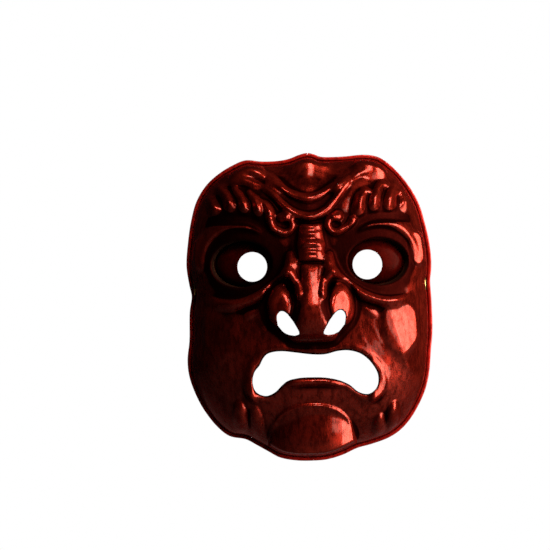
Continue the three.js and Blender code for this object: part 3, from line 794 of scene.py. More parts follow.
def woodGroup():
    # Long soft grain running up the mask.
    tree, given, result = newGroup("woodGrain", [("Scale", "NodeSocketFloat", 1.0)],
                                   [("Grain", "NodeSocketFloat"), ("Pores", "NodeSocketFloat")])
    place = scaledPlace(tree, given)
    tree.links.new(noise(tree, place, 160.0, 4.0, 0.6, (1.0, 1.0, 0.06)), result.inputs["Grain"])
    tree.links.new(noise(tree, place, 900.0, 2.0, 0.5, (1.0, 1.0, 0.05)), result.inputs["Pores"])
    return tree


def weaveGroup():
    # Over and under threads on the piece's own UV map, one unit to the metre.
    tree, given, result = newGroup("weave", [("Threads", "NodeSocketFloat", 1600.0)],
                                   [("Height", "NodeSocketFloat"), ("Over", "NodeSocketFloat")])
    place = put(tree, "ShaderNodeUVMap", uv_map="cloth").outputs[0]
    apart = put(tree, "ShaderNodeSeparateXYZ", {0: place})
    u = sums(tree, "MULTIPLY", apart.outputs[0], given.outputs["Threads"])
    v = sums(tree, "MULTIPLY", apart.outputs[1], given.outputs["Threads"])
    waveU = sums(tree, "SINE", sums(tree, "MULTIPLY", u, math.pi))
    waveV = sums(tree, "SINE", sums(tree, "MULTIPLY", v, math.pi))
    check = sums(tree, "MULTIPLY", waveU, waveV)
    over = ranged(tree, check, -0.2, 0.2)
    heightU = sums(tree, "ABSOLUTE", waveU)
    heightV = sums(tree, "ABSOLUTE", waveV)
    low = sums(tree, "MULTIPLY", heightU, sums(tree, "SUBTRACT", 1.0, over))
    tree.links.new(sums(tree, "ADD", low, sums(tree, "MULTIPLY", heightV, over)), result.inputs["Height"])
    tree.links.new(over, result.inputs["Over"])
    return tree


groups = {g.name: g for g in (stippleGroup(), wearAndShadeGroup(), dustGroup(), woodGroup(), weaveGroup())}


def useGroup(tree, name, **values):
    return put(tree, "ShaderNodeGroup", values, node_tree=groups[name]).outputs


def newMaterial(name, **constants):
    made = bpy.data.materials.new(name)
    made.use_nodes = True
    shader = made.node_tree.nodes["Principled BSDF"]
    for key, value in constants.items():
        shader.inputs[key.replace("_", " ")].default_value = value
    return made, made.node_tree, shader


def bump(tree, shader, height, distance, strength=1.0):
    node = put(tree, "ShaderNodeBump", {"Height": height, "Distance": distance, "Strength": strength})
    tree.links.new(node.outputs[0], shader.inputs["Normal"])


def named(tree, name):
    return put(tree, "ShaderNodeAttribute", attribute_name=name).outputs["Fac"]


# Materials.

# Painted light among these: the darkest red is painted shade in the hollows, the brightest red is painted
# highlight with rubbed wear on the crests, and the near-black red of the cut walls is painted shade.
red = {
    "deep": (0.007, 0.0004, 0.0003, 1), "body": (0.122, 0.0068, 0.0038, 1), "rubbedAndLitRed": (0.2, 0.012, 0.0065, 1),
    "edge": (0.012, 0.004, 0.003, 1), "back": (0.1, 0.045, 0.024, 1), "glint": (1.0, 0.06, 0.034, 1),
    "dust": (0.06, 0.014, 0.009, 1), "rim": (0.3, 0.008, 0.006, 1), "eye": (0.02, 0.0005, 0.0003, 1),
}


def darker(color, by):
    return [c * by for c in color[:3]] + [1]


def lacquer(name, body, relief=True, inside=False, glow=0.8, coating=0.3, gloss=0.04):
    # Red pigment that tints its own shine, as metal does, under a thin clear coat.
    made, tree, shader = newMaterial(name, IOR=1.6, Specular_Tint=red["glint"], Specular_IOR_Level=gloss,
                                     Metallic=glow, Coat_Roughness=0.07, Coat_IOR=1.5)
    skin = useGroup(tree, "stipple", Scale=1.0, Strokes=0.7)
    shadingMask = named(tree, "paintedShading") if relief else 0.0
    wearAndShade = useGroup(tree, "wearAndShade", Relief=shadingMask, Amount=0.55)
    dust = useGroup(tree, "dust", Amount=0.04)["Mask"]
    color = blended(tree, ranged(tree, skin["Mottle"], 0.62, 0.34, 0.0, 0.8), body, darker(body, 0.5))
    color = blended(tree, ranged(tree, skin["Streaks"], 0.5, 0.72, 0.0, 0.5), color, darker(body, 1.5))
    color = blended(tree, ranged(tree, skin["Streaks"], 0.52, 0.34, 0.0, 0.75), color, darker(body, 0.3))
    if relief:
        # Painted highlight, with some rubbed wear, on the crests.
        color = blended(tree, wearAndShade["RubbedAndLit"], color, red["rubbedAndLitRed"])
        # Painted shade: the hollows, sockets and brow shadows go near black.
        color = blended(tree, ranged(tree, wearAndShade["PaintedShade"], 0.0, 0.65), color, red["deep"])
    rough = sums(tree, "ADD", ranged(tree, skin["Mottle"], 0.3, 0.75, 0.17, 0.28),
                 ranged(tree, skin["Streaks"], 0.35, 0.65, 0.0, 0.1))
    rough = sums(tree, "ADD", rough, sums(tree, "MULTIPLY", wearAndShade["PaintedShade"], 0.25))
    grain = sums(tree, "MULTIPLY", ranged(tree, skin["Streaks"], 0.36, 0.6, 0.4, 1.0),
                 ranged(tree, skin["Mottle"], 0.3, 0.6, 0.55, 1.0))
    coat = sums(tree, "MULTIPLY", ranged(tree, wearAndShade["PaintedShade"], 0.0, 0.6, coating, 0.0), grain)
    height = skin["Height"]
    if inside:
        wood = useGroup(tree, "woodGrain", Scale=1.0)
        back = blended(tree, ranged(tree, wood["Grain"], 0.35, 0.65), darker(red["back"], 0.55), red["back"])
        within, cut = named(tree, "inside"), named(tree, "cutWall")
        color = blended(tree, within, color, back)
        # Painted shade: the cut walls of the holes go near black.
        color = blended(tree, cut, color, red["edge"])
        bare = sums(tree, "MAXIMUM", within, cut)
        tree.links.new(ranged(tree, bare, 0.0, 1.0, glow, 0.0), shader.inputs["Metallic"])
        rough = sums(tree, "ADD", rough, sums(tree, "MULTIPLY", within, 0.22))
        coat = sums(tree, "MULTIPLY", coat, ranged(tree, within, 0.0, 1.0, 1.0, 0.35))
        pores = sums(tree, "MULTIPLY", sums(tree, "MULTIPLY", wood["Pores"], within), 1.5)
        height = sums(tree, "ADD", height, pores)
    color = blended(tree, dust, color, red["dust"])
    rough = sums(tree, "ADD", rough, sums(tree, "MULTIPLY", dust, 0.3), clamp=True)
    tree.links.new(color, shader.inputs["Base Color"])
    tree.links.new(rough, shader.inputs["Roughness"])
    tree.links.new(coat, shader.inputs["Coat Weight"])
    bump(tree, shader, height, 0.00012, 0.7)
    return made


def metal(name, body, dark, patina, rough=0.3):
    made, tree, shader = newMaterial(name, Metallic=1.0)
    skin = useGroup(tree, "stipple", Scale=1.6, Strokes=0.3)
    dust = useGroup(tree, "dust", Amount=0.35)["Mask"]
    tarnish = ranged(tree, skin["Mottle"], 0.38, 0.66)
    color = blended(tree, tarnish, body, dark)
    color = blended(tree, dust, color, patina)
    tree.links.new(color, shader.inputs["Base Color"])
    tree.links.new(ranged(tree, tarnish, 0.0, 1.0, rough, rough + 0.25), shader.inputs["Roughness"])
    tree.links.new(ranged(tree, dust, 0.0, 1.0, 1.0, 0.4), shader.inputs["Metallic"])
    bump(tree, shader, skin["Height"], 0.00003, 0.5)
    return made


def cloth(name, warp, weft):
    made, tree, shader = newMaterial(name, Sheen_Weight=0.12, Sheen_Roughness=0.45)
    threads = useGroup(tree, "weave", Threads=1500.0)
    skin = useGroup(tree, "stipple", Scale=0.8, Strokes=0.2)
    dust = useGroup(tree, "dust", Amount=0.12)["Mask"]
    color = blended(tree, threads["Over"], warp, weft)
    color = blended(tree, ranged(tree, skin["Mottle"], 0.4, 0.7, 0.0, 0.5), color, darker(weft, 0.6))
    color = blended(tree, dust, color, (0.3, 0.26, 0.22, 1))
    tree.links.new(color, shader.inputs["Base Color"])
    tree.links.new(ranged(tree, threads["Height"], 0.0, 1.0, 0.95, 0.78), shader.inputs["Roughness"])
    height = sums(tree, "ADD", threads["Height"], sums(tree, "MULTIPLY", skin["Height"], 0.3))
    bump(tree, shader, height, 0.00012, 0.9)
    return made


looks = {
    "shell": lacquer("redLacquer", red["body"], inside=True),
    "rim": lacquer("rimLacquer", red["rim"], relief=False, glow=0.3, gloss=0.5),
    # A very dark red with little shine: painted shade on the eyeballs.
    "eye": lacquer("eyeLacquer", red["eye"], relief=False, glow=0.0, coating=0.0, gloss=0.02),
    "copper": metal("copperNail", (0.62, 0.25, 0.13, 1), (0.2, 0.07, 0.04, 1), (0.1, 0.16, 0.12, 1)),
    "brass": metal("agedBrass", (0.62, 0.44, 0.17, 1), (0.22, 0.14, 0.05, 1), (0.13, 0.15, 0.09, 1)),
    "cloth": cloth("padCloth", (0.1, 0.018, 0.016, 1), (0.22, 0.06, 0.04, 1)),
    "thread": cloth("stitchThread", (0.4, 0.3, 0.18, 1), (0.3, 0.2, 0.12, 1)),
}
shellPiece.data.materials.append(looks["shell"])
print("materials made")


# The rim: two lacquered strips, drawn along the outline.

rim = {"wide": shell["rimWide"] + shell["gap"], "deep": shell["rimDeep"], "round": 0.75, "split": 0.02,
       "reach": 105, "steps": 260}


def socketId(tree, name):
    return next(i.identifier for i in tree.interface.items_tree if i.name == name and i.in_out == "INPUT")


def shapeTree(name, labels):
    # A tree that takes a shape and some lengths, and gives back a shape.
    tree = bpy.data.node_groups.new(name, "GeometryNodeTree")
    tree.interface.new_socket("Geometry", in_out="INPUT", socket_type="NodeSocketGeometry")
    for label in labels:
        tree.interface.new_socket(label, in_out="INPUT", socket_type="NodeSocketFloat")
    tree.interface.new_socket("Geometry", in_out="OUTPUT", socket_type="NodeSocketGeometry")
    given, result = tree.nodes.new("NodeGroupInput"), tree.nodes.new("NodeGroupOutput")
    return tree, given, result


def endedTree(tree, result, shape, material):
    real = put(tree, "GeometryNodeRealizeInstances", {"Geometry": shape.outputs[0]})
    dyed = put(tree, "GeometryNodeSetMaterial", {"Geometry": real.outputs[0], "Material": material})
    tree.links.new(dyed.outputs[0], result.inputs[0])
    return tree


def stripTree(material):
    tree, given, result = shapeTree("rimStrip", ("Wide", "Deep", "Round"))
    normals = put(tree, "GeometryNodeSetCurveNormal", {"Curve": given.outputs["Geometry"]}, mode="FREE")
    normals.inputs["Normal"].default_value = (0, 1, 0)
    profile = put(tree, "GeometryNodeCurvePrimitiveQuadrilateral",
                  {"Width": given.outputs["Deep"], "Height": given.outputs["Wide"]})
    soft = put(tree, "GeometryNodeFilletCurve",
               {"Curve": profile.outputs[0], "Radius": given.outputs["Round"]})
    if "Mode" in soft.inputs:
        soft.inputs["Mode"].default_value = "Poly"
    else:
        soft.mode = "POLY"
    soft.inputs["Count"].default_value = 5
    swept = put(tree, "GeometryNodeCurveToMesh",
                {"Curve": normals.outputs[0], "Profile Curve": soft.outputs[0], "Fill Caps": True})
    smooth = put(tree, "GeometryNodeSetShadeSmooth", {"Geometry": swept.outputs[0], "Shade Smooth": True})
    return endedTree(tree, result, smooth, material)


def polyline(name, points, closed=False):
    data = bpy.data.curves.new(name, "CURVE")
    data.dimensions = "3D"
    line = data.splines.new("POLY")
    line.points.add(len(points) - 1)
    line.points.foreach_set("co", [c for p in points for c in (*p, 1.0)])
    line.use_cyclic_u = closed
    return newObject(name, data)


def grown(source, tree, **values):
    # Runs a tree on an object and gives back a plain mesh object in its place.
    step = source.modifiers.new("grow", "NODES")
    step.node_group = tree
    for key, value in values.items():
        step[socketId(tree, key)] = value
    bpy.context.view_layer.update()
    mesh = bpy.data.meshes.new_from_object(source.evaluated_get(bpy.context.evaluated_depsgraph_get()))
    name = source.name
    bpy.data.objects.remove(source)
    mesh.name = name
    return newObject(name, mesh)


def makeRim(name, node, sign, tree):
    top, bottom = math.pi / 2, -math.pi / 2
    trim = rim["split"] / rim["reach"]
    ends = (top - trim, bottom + trim) if sign > 0 else (top + trim, top + math.pi - trim)
    angles = np.linspace(*ends, rim["steps"])
    r = outlineRadius(np.angle(np.exp(1j * angles))) - rim["wide"] / 2
    points = [(q * math.cos(a) * mm, -rim["deep"] / 2 * mm, q * math.sin(a) * mm) for q, a in zip(r, angles)]
    made = grown(polyline(name, points), tree, Wide=rim["wide"] * mm, Deep=rim["deep"] * mm,
                 Round=rim["round"] * mm)
    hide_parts(node)
    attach(made, "root")


rimTree = stripTree(looks["rim"])
makeRim("rightRim", "right_rim_strip", 1, rimTree)
makeRim("leftRim", "left_rim_strip", -1, rimTree)
print("rim made")


# The eyes: a domed sheet with a round sight hole, nailed behind each lid.

ball = {"across": 20.6, "up": 14.8, "rise": 8.6, "power": 2.0, "edge": 0.5, "back": 0.4,
        "rimAcross": 24.5, "rimUp": 18.5, "rings": 26, "around": 128}


def ballFront(u, w, inward=0.0):
    # How far the sheet stands out along the eye's axis.
    q = np.hypot(u / (ball["across"] - inward), w / (ball["up"] - inward))
    return -ball["back"] - inward + ball["rise"] * np.clip(1 - q ** ball["power"], 0, None) ** ball["edge"]


def makeEye(name, node, sign):
    c, s = math.cos(eye["tilt"]), math.sin(eye["tilt"])
    angle = np.linspace(0, 2 * math.pi, ball["around"], endpoint=False)
    dx = eye["holeX"] - eye["x"] + eye["holeRadius"] * np.cos(angle)
    holeW = eye["holeZ"] - eye["z"] + eye["holeRadius"] * np.sin(angle)
    sheets = []
    for inward in (0.0, eye["sheet"]):
        holeU = dx.copy()
        for _ in range(30):
            holeU = 0.5 * holeU + 0.5 * (dx - ballFront(holeU, holeW, inward) * s) / c
        turn = np.arctan2(holeW / ball["up"], holeU / ball["across"])
        steps = [(math.sin(math.pi / 2 * k / ball["rings"]), 0) for k in range(ball["rings"] + 1)]
        steps += [(1, 0.15), (1, 0.6), (1, 1)]
        rows = []
        for t, over in steps:
            a = ball["across"] - inward + over * (ball["rimAcross"] - ball["across"] + inward)
            b = ball["up"] - inward + over * (ball["rimUp"] - ball["up"] + inward)
            edgeU, edgeW = a * np.cos(turn), b * np.sin(turn)
            u, w = holeU + (edgeU - holeU) * t, holeW + (edgeW - holeW) * t
            rows.append(np.stack([u, ballFront(u, w, inward), w], 1))
        sheets.append(rows)
    rows = sheets[0] + sheets[1][::-1]
    p = np.vstack(rows)
    x = eye["x"] + p[:, 0] * c + p[:, 1] * s
    depth = eye["lidDepth"] - shell["wall"] + eye["recess"] - p[:, 0] * s + p[:, 1] * c
    world = np.stack([sign * x, -depth, eye["z"] + p[:, 2]], 1) * mm
    count, rounds = ball["around"], len(rows)
    faces = []
    for i in range(rounds):
        j = (i + 1) % rounds
        for k in range(count):
            m = (k + 1) % count
            faces.append((i * count + k, i * count + m, j * count + m, j * count + k))
    if sign > 0:
        faces = [f[::-1] for f in faces]
    made = meshObject(name, world, faces)
    made.data.materials.append(looks["eye"])
    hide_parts(node)
    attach(made, "root")


makeEye("rightEye", "right_eye", 1)
makeEye("leftEye", "left_eye", -1)
print("eyes made")


# Nails: a round-headed pin at each place that the frame gives.

nail = {"head": 1.6, "shank": 0.8, "long": 3.6, "dome": 0.9}


def nailTree(material):
    tree, given, result = shapeTree("eyeNails", ("Head", "Dome", "Shank", "Long"))
    head = put(tree, "GeometryNodeMeshUVSphere",
               {"Segments": 24, "Rings": 14, "Radius": given.outputs["Head"]})
    flat = sums(tree, "DIVIDE", given.outputs["Dome"], given.outputs["Head"])
    scale = put(tree, "ShaderNodeCombineXYZ", {0: 1.0, 1: 1.0, 2: flat})
    head = put(tree, "GeometryNodeTransform", {"Geometry": head.outputs[0], "Scale": scale.outputs[0]})
    pin = put(tree, "GeometryNodeMeshCylinder",
              {"Vertices": 20, "Radius": given.outputs["Shank"], "Depth": given.outputs["Long"]})
    along = put(tree, "ShaderNodeCombineXYZ", {2: sums(tree, "DIVIDE", given.outputs["Long"], 2.0)})
    pin = put(tree, "GeometryNodeTransform", {"Geometry": pin.outputs[0], "Translation": along.outputs[0]})
    joined = tree.nodes.new("GeometryNodeJoinGeometry")
    tree.links.new(head.outputs[0], joined.inputs[0])
    tree.links.new(pin.outputs[0], joined.inputs[0])
    smooth = put(tree, "GeometryNodeSetShadeSmooth", {"Geometry": joined.outputs[0], "Shade Smooth": True})
    axis = put(tree, "GeometryNodeInputNamedAttribute", data_type="FLOAT_VECTOR")
    axis.inputs["Name"].default_value = "axis"
    turn = put(tree, "FunctionNodeAlignRotationToVector", {"Vector": axis.outputs[0]}, axis="Z")
    placed = put(tree, "GeometryNodeInstanceOnPoints",
                 {"Points": given.outputs["Geometry"], "Instance": smooth.outputs[0],
                  "Rotation": turn.outputs[0]})
    return endedTree(tree, result, placed, material)


def makeNails(name, which, sign, tree):
    nodes = [f"{which}_eye_nail_{i}" for i in (1, 2, 3, 4)]
    axis = Vector((sign * math.sin(eye["tilt"]), -math.cos(eye["tilt"]), 0))
    points = []
    for node in nodes:
        low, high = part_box(node)
        middle = (low + high) / 2
        points.append(middle - axis * (nail["long"] / 2 * mm))
    mesh = bpy.data.meshes.new(name)
    mesh.from_pydata(points, [], [])
    mesh.attributes.new("axis", "FLOAT_VECTOR", "POINT").data.foreach_set("vector", list(axis) * len(points))
    values = {k.capitalize(): nail[k] * mm for k in ("head", "dome", "shank", "long")}
    made = grown(newObject(name, mesh), tree, **values)
    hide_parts(*nodes)
    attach(made, "root")


pins = nailTree(looks["copper"])
makeNails("rightEyeNails", "right", 1, pins)
makeNails("leftEyeNails", "left", -1, pins)
print("nails made")


# Cord eyelets and their washers, turned from profiles.

eyelet = {"bore": 2.3, "tube": 3.0, "flange": 4.6, "sheet": 0.8, "segments": 64}


def turned(name, profile, centre, sign, material):
    # A closed profile of (distance from the axis, place along x) swept round an axis along x.
    p = np.array(profile)
    count = len(p)
    points, faces = [], []
    for k in range(eyelet["segments"]):
        a = 2 * math.pi * k / eyelet["segments"]
        for r, h in p:
            points.append((sign * h * mm, centre[1] + r * math.cos(a) * mm, centre[2] + r * math.sin(a) * mm))
    for k in range(eyelet["segments"]):
        m = (k + 1) % eyelet["segments"]
        for i in range(count):
            j = (i + 1) % count
            face = (k * count + i, k * count + j, m * count + j, m * count + i)
            faces.append(face if sign > 0 else face[::-1])
    made = meshObject(name, points, faces)
    made.data.materials.append(material)
    return made


def rolled(r0, r1, h0, h1, bead=0.28):
    # A band with its four corners rounded.
    bead = min(bead, abs(r1 - r0) / 2.2, abs(h1 - h0) / 2.2)
    out = []
    corners = ((r1 - bead, h1 - bead, 0), (r0 + bead, h1 - bead, 90), (r0 + bead, h0 + bead, 180),
               (r1 - bead, h0 + bead, 270))
    for cr, ch, start in corners:
        for k in range(4):
            a = math.radians(start + 30 * k)
            out.append((cr + bead * math.cos(a), ch + bead * math.sin(a)))
    return out


def makeEyelets(which, sign):
    low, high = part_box(f"{which}_cord_eyelet")
    centre = (low + high) / 2
    inner, outer = sorted((abs(low.x) / mm, abs(high.x) / mm))
    b, t, f, h = eyelet["bore"], eyelet["tube"], eyelet["flange"], outer
    profile = [(b, inner), (b, h - 0.9), (b + 0.12, h - 0.35), (b + 0.45, h - 0.08), (b + 0.95, h),
               (f - 0.7, h - 0.12),
               (f - 0.2, h - 0.35), (f, h - 0.6), (f - 0.1, h - eyelet["sheet"]),
               (t + 0.1, h - eyelet["sheet"]), (t, h - 1.0), (t, inner)]
    made = turned(which + "CordEyelet", profile, centre, sign, looks["brass"])
    low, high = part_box(f"{which}_cord_washer")
    near, far = sorted((abs(low.x) / mm, abs(high.x) / mm))
    washer = turned(which + "CordWasher", rolled(t + 0.15, f, near, far), centre, sign, looks["brass"])
    for piece, node in ((made, "eyelet"), (washer, "washer")):
        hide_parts(f"{which}_cord_{node}")
        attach(piece, "root")


makeEyelets("right", 1)
makeEyelets("left", -1)
print("eyelets made")


# Pads: covers of woven cloth over soft filling, puffed out by cloth simulation.

pads = {
    "foreheadPad": {"node": "forehead_pad", "rx": 29.5, "rz": 10.6, "stretch": (1.0, 1.5)},
    "rightCheekPad": {"node": "right_cheek_pad", "rx": 9.2, "rz": 18.6, "stretch": (1.4, 1.0)},
    "leftCheekPad": {"node": "left_cheek_pad", "rx": 9.2, "rz": 18.6, "stretch": (1.4, 1.0)},
}
padMake = {"thick": 6.6, "rest": 0.35, "rings": 16, "around": 96, "squareness": 2.5, "voxel": 1.4,
           "pressure": 4.0,
           "frames": 20, "piping": 0.6, "stitchIn": 0.83, "stitchEvery": 3.4, "stitchLong": 2.2,
           "threadThick": 0.42}


def hollowDepth(x, z):
    inset = shell["rimWide"] + shell["gap"] + shell["wall"]
    q = np.hypot(x, z) / (outlineRadius(np.arctan2(z, x)) - inset)
    plain = domeHeight(q, shell["wall"])
    return plain + lookUp(reliefIn, x, z)


def hollowPoint(x, z, off):
    # A point over the inner face of the shell, and the way from there into the hollow.
    h = 1.5
    depth = (hollowDepth(x, z) + hollowDepth(x + h, z) + hollowDepth(x - h, z)
             + hollowDepth(x, z + h) + hollowDepth(x, z - h)) / 5
    slopeX = (hollowDepth(x + h, z) - hollowDepth(x - h, z)) / (2 * h)
    slopeZ = (hollowDepth(x, z + h) - hollowDepth(x, z - h)) / (2 * h)
    way = np.stack([slopeX, -np.ones_like(slopeX), slopeZ], 1)
    way /= np.linalg.norm(way, axis=1, keepdims=True)
    return np.stack([x, depth, z], 1) + way * np.asarray(off)[:, None]


def padPoint(spec, share, angle, thick):
    p = 2 / padMake["squareness"]
    c, s = np.cos(angle), np.sin(angle)
    x = spec["centre"][0] + spec["rx"] * share * np.sign(c) * np.abs(c) ** p
    z = spec["centre"][1] + spec["rz"] * share * np.sign(s) * np.abs(s) ** p
    return hollowPoint(x, z, thick)


def padMesh(name, spec):
    angle = np.linspace(0, 2 * math.pi, padMake["around"], endpoint=False)
    rest, thick = padMake["rest"] + 0.25, padMake["thick"]
    shares = np.sin(np.linspace(0.06, 1, padMake["rings"]) * math.pi / 2)
    rows = [padPoint(spec, np.full(angle.shape, t), angle, np.full(angle.shape, rest)) for t in shares]
    for t in shares[::-1][1:]:
        high = rest + thick * (1 - t ** 2.6) ** 0.55
        rows.append(padPoint(spec, np.full(angle.shape, t), angle, np.full(angle.shape, high)))
    count, total = len(angle), len(rows)
    ends = [padPoint(spec, np.zeros(1), np.zeros(1), np.full(1, v)) for v in (rest, rest + thick)]
    points = np.vstack(rows + ends) * [mm, -mm, mm]
    faces = []
    for i in range(total - 1):
        for k in range(count):
            m = (k + 1) % count
            faces.append((i * count + k, (i + 1) * count + k, (i + 1) * count + m, i * count + m))
    low, high = total * count, total * count + 1
    for k in range(count):
        m = (k + 1) % count
        faces.append((low, k, m))
        faces.append((high, (total - 1) * count + m, (total - 1) * count + k))
    return meshObject(name, points, faces)


def puffed(made):
    # Cloth under pressure: the face against the shell and the seam stay put, the rest fills out.
    step = made.modifiers.new("even", "REMESH")
    step.mode = "VOXEL"
    step.voxel_size = padMake["voxel"] * mm
    applied(made)
    made.data.polygons.foreach_set("use_smooth", [True] * len(made.data.polygons))
    at = places(made.data) / mm * [1, -1, 1]
    base = hollowPoint(at[:, 0], at[:, 2], np.zeros(len(at)))
    lift = np.abs(base[:, 1] - at[:, 1])
    group = made.vertex_groups.new(name="held")
    for i in np.nonzero(lift < 2.6)[0]:
        group.add([int(i)], 1.0, "REPLACE")
    cloth = made.modifiers.new("fill", "CLOTH")
    cloth.settings.quality = 6
    cloth.settings.mass = 0.15
    cloth.settings.tension_stiffness = 12
    cloth.settings.compression_stiffness = 12
    cloth.settings.bending_stiffness = 0.4
    cloth.settings.use_pressure = True
    cloth.settings.uniform_pressure_force = padMake["pressure"]
    cloth.settings.vertex_group_mass = "held"
    cloth.settings.effector_weights.gravity = 0
    cloth.point_cache.frame_start = 1
    cloth.point_cache.frame_end = padMake["frames"]
    for number in range(1, padMake["frames"] + 1):
        bpy.context.scene.frame_set(number)
    applied(made)
    bpy.context.scene.frame_set(1)
    made.vertex_groups.clear()
    fine = made.modifiers.new("fine", "SUBSURF")
    fine.levels = 1
    fine.render_levels = 1
    return applied(made)


def onPad(made, points):
    # The places on a finished pad nearest to some points.
    return [made.closest_point_on_mesh(Vector(p))[1] for p in points]


def threadTree(name, material, stitches):
    # Piping along a closed line, or a row of stitches lying along it.
    tree, given, result = shapeTree(name, ("Thick", "Long", "Every"))
    radius = sums(tree, "DIVIDE", given.outputs["Thick"], 2.0)
    if stitches:
        even = put(tree, "GeometryNodeCurveToPoints",
                   {"Curve": given.outputs["Geometry"], "Length": given.outputs["Every"]}, mode="LENGTH")
        sphere = put(tree, "GeometryNodeMeshUVSphere", {"Segments": 10, "Rings": 8, "Radius": radius})
        stretch = put(tree, "ShaderNodeCombineXYZ",
                      {0: 1.0, 1: 1.0, 2: sums(tree, "DIVIDE", given.outputs["Long"],
                                               given.outputs["Thick"])})
        stitch = put(tree, "GeometryNodeTransform",
                     {"Geometry": sphere.outputs[0], "Scale": stretch.outputs[0]})
        turn = put(tree, "FunctionNodeAlignRotationToVector", {"Vector": even.outputs["Tangent"]}, axis="Z")
        made = put(tree, "GeometryNodeInstanceOnPoints",
                   {"Points": even.outputs[0], "Instance": stitch.outputs[0], "Rotation": turn.outputs[0]})
    else:
        ring = put(tree, "GeometryNodeCurvePrimitiveCircle", {"Resolution": 12, "Radius": radius})
        made = put(tree, "GeometryNodeCurveToMesh",
                   {"Curve": given.outputs["Geometry"], "Profile Curve": ring.outputs[0]})
    smooth = put(tree, "GeometryNodeSetShadeSmooth", {"Geometry": made.outputs[0], "Shade Smooth": True})
    return endedTree(tree, result, smooth, material)


def clothMap(made, stretch):
    # One unit of the map is one metre of cloth.
    layer = made.data.uv_layers.new(name="cloth")
    co = places(made.data)
    corner = np.empty(len(made.data.loops), np.int64)
    made.data.loops.foreach_get("vertex_index", corner)
    flat = np.stack([co[:, 0] * stretch[0], co[:, 2] * stretch[1]], 1)
    layer.data.foreach_set("uv", flat[corner].ravel())


def makePad(name, spec, piping, stitches):
    low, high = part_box(spec["node"])
    spec["centre"] = ((low.x + high.x) / 2 / mm, (low.z + high.z) / 2 / mm)
    made = puffed(padMesh(name, spec))
    clothMap(made, spec["stretch"])
    made.data.materials.append(looks["cloth"])
    angle = np.linspace(0, 2 * math.pi, 180, endpoint=False)
    world = [mm, -mm, mm]
    rest = padMake["rest"] + padMake["piping"]
    seam = padPoint(spec, np.full(angle.shape, 1.0), angle, np.full(angle.shape, rest)) * world
    row = padPoint(spec, np.full(angle.shape, padMake["stitchIn"]), angle,
                   np.full(angle.shape, padMake["thick"] + 2)) * world
    values = {"Thick": 2 * padMake["piping"] * mm, "Long": 0.0, "Every": 0.0}
    welt = grown(polyline(name + "Piping", seam, True), piping, **values)
    values = {"Thick": padMake["threadThick"] * mm, "Long": padMake["stitchLong"] * mm,
              "Every": padMake["stitchEvery"] * mm}
    sewn = grown(polyline(name + "Stitches", onPad(made, row), True), stitches, **values)
    clothMap(welt, spec["stretch"])
    clothMap(sewn, spec["stretch"])
    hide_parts(spec["node"])
    for piece in (made, welt, sewn):
        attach(piece, "root")


pipingTree = threadTree("piping", looks["cloth"], False)
stitchTree = threadTree("stitches", looks["thread"], True)
for name, spec in pads.items():
    makePad(name, spec, pipingTree, stitchTree)
print("pads made")


# Stage, light and camera.

view = {"far": 3.2, "across": 0.376, "sideways": -0.0236, "upward": 0.0222, "roll": math.radians(1.2)}


def areaLight(name, place, target, size, power, color=(1, 1, 1), sizeY=None):
    data = bpy.data.lights.new(name, "AREA")
    data.shape = "RECTANGLE"
    data.size = size
    data.size_y = sizeY or size
    data.energy = power
    data.color = color
    made = newObject(name, data)
    made.location = place
    made.rotation_euler = (Vector(target) - Vector(place)).to_track_quat("-Z", "Y").to_euler()


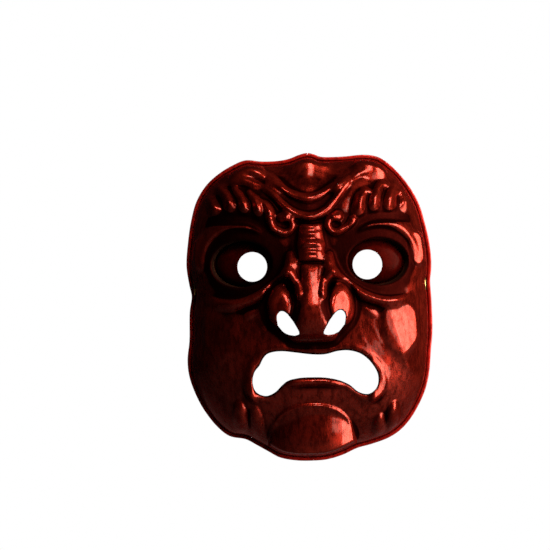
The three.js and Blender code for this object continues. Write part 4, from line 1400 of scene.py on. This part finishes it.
def makeStage():
    pale = bpy.data.materials.new("paleFloor")
    pale.use_nodes = True
    b = pale.node_tree.nodes["Principled BSDF"]
    b.inputs["Base Color"].default_value = (0.1, 0.1, 0.1, 1)
    b.inputs["Roughness"].default_value = 0.9
    # Bright to the eye, dim to the lacquer.
    glow = put(pale.node_tree, "ShaderNodeEmission", {"Color": (1, 1, 1, 1), "Strength": 1.0})
    path = put(pale.node_tree, "ShaderNodeLightPath")
    mix = put(pale.node_tree, "ShaderNodeMixShader",
              {0: path.outputs["Is Camera Ray"], 1: b.outputs[0], 2: glow.outputs[0]})
    pale.node_tree.links.new(mix.outputs[0], pale.node_tree.nodes["Material Output"].inputs["Surface"])
    mesh = bpy.data.meshes.new("floor")
    low = cadBounds[0][2] - 0.3
    mesh.from_pydata([(-1.5, -1.5, low), (1.5, -1.5, low), (1.5, 1.2, low), (-1.5, 1.2, low)], [],
                     [(0, 1, 2, 3)])
    floor = newObject("floor", mesh)
    floor.data.materials.append(pale)
    # White to the eye, dim to the lacquer, so that the shaded side stays dark.
    world = bpy.data.worlds.new("studio")
    bpy.context.scene.world = world
    world.use_nodes = True
    tree = world.node_tree
    seen = tree.nodes.new("ShaderNodeBackground")
    seen.inputs["Strength"].default_value = 1.0
    dim = tree.nodes["Background"]
    dim.inputs["Color"].default_value = (1, 1, 1, 1)
    dim.inputs["Strength"].default_value = 0.01
    seen.inputs["Color"].default_value = (1, 1, 1, 1)
    mix = tree.nodes.new("ShaderNodeMixShader")
    path = tree.nodes.new("ShaderNodeLightPath")
    tree.links.new(path.outputs["Is Camera Ray"], mix.inputs[0])
    tree.links.new(dim.outputs[0], mix.inputs[1])
    tree.links.new(seen.outputs[0], mix.inputs[2])
    tree.links.new(mix.outputs[0], tree.nodes["World Output"].inputs["Surface"])
    bpy.context.scene.view_settings.view_transform = "Standard"


def makeLightsAndCamera():
    areaLight("key", (1.05, -0.42, 0.1), (0, 0, 0), 0.72, 62, (1.0, 0.95, 0.72), 1.7)
    areaLight("top", (0.24, -0.95, 1.0), (0, 0, 0.02), 0.45, 16, (1.0, 0.85, 0.66))
    areaLight("soft", (0.95, -1.05, 0.2), (0, 0, 0), 0.6, 12, (1.0, 0.85, 0.68), 1.0)
    areaLight("back", (0.1, 1.8, 0.1), (0, 0, 0), 0.5, 14)
    camera = newObject("camera", bpy.data.cameras.new("camera"))
    camera.data.sensor_width = 36
    camera.data.lens = 36 * view["far"] / view["across"]
    camera.data.clip_end = 20
    middle = Vector((view["sideways"], 0, view["upward"]))
    camera.location = middle + Vector((0, -view["far"], 0))
    camera.rotation_euler = (math.pi / 2, 0, 0)
    camera.rotation_euler = (Matrix.Rotation(view["roll"], 3,
                                             "Y") @ camera.rotation_euler.to_matrix()).to_euler()
    bpy.context.scene.camera = camera


makeStage()
makeLightsAndCamera()
bpy.context.view_layer.update()
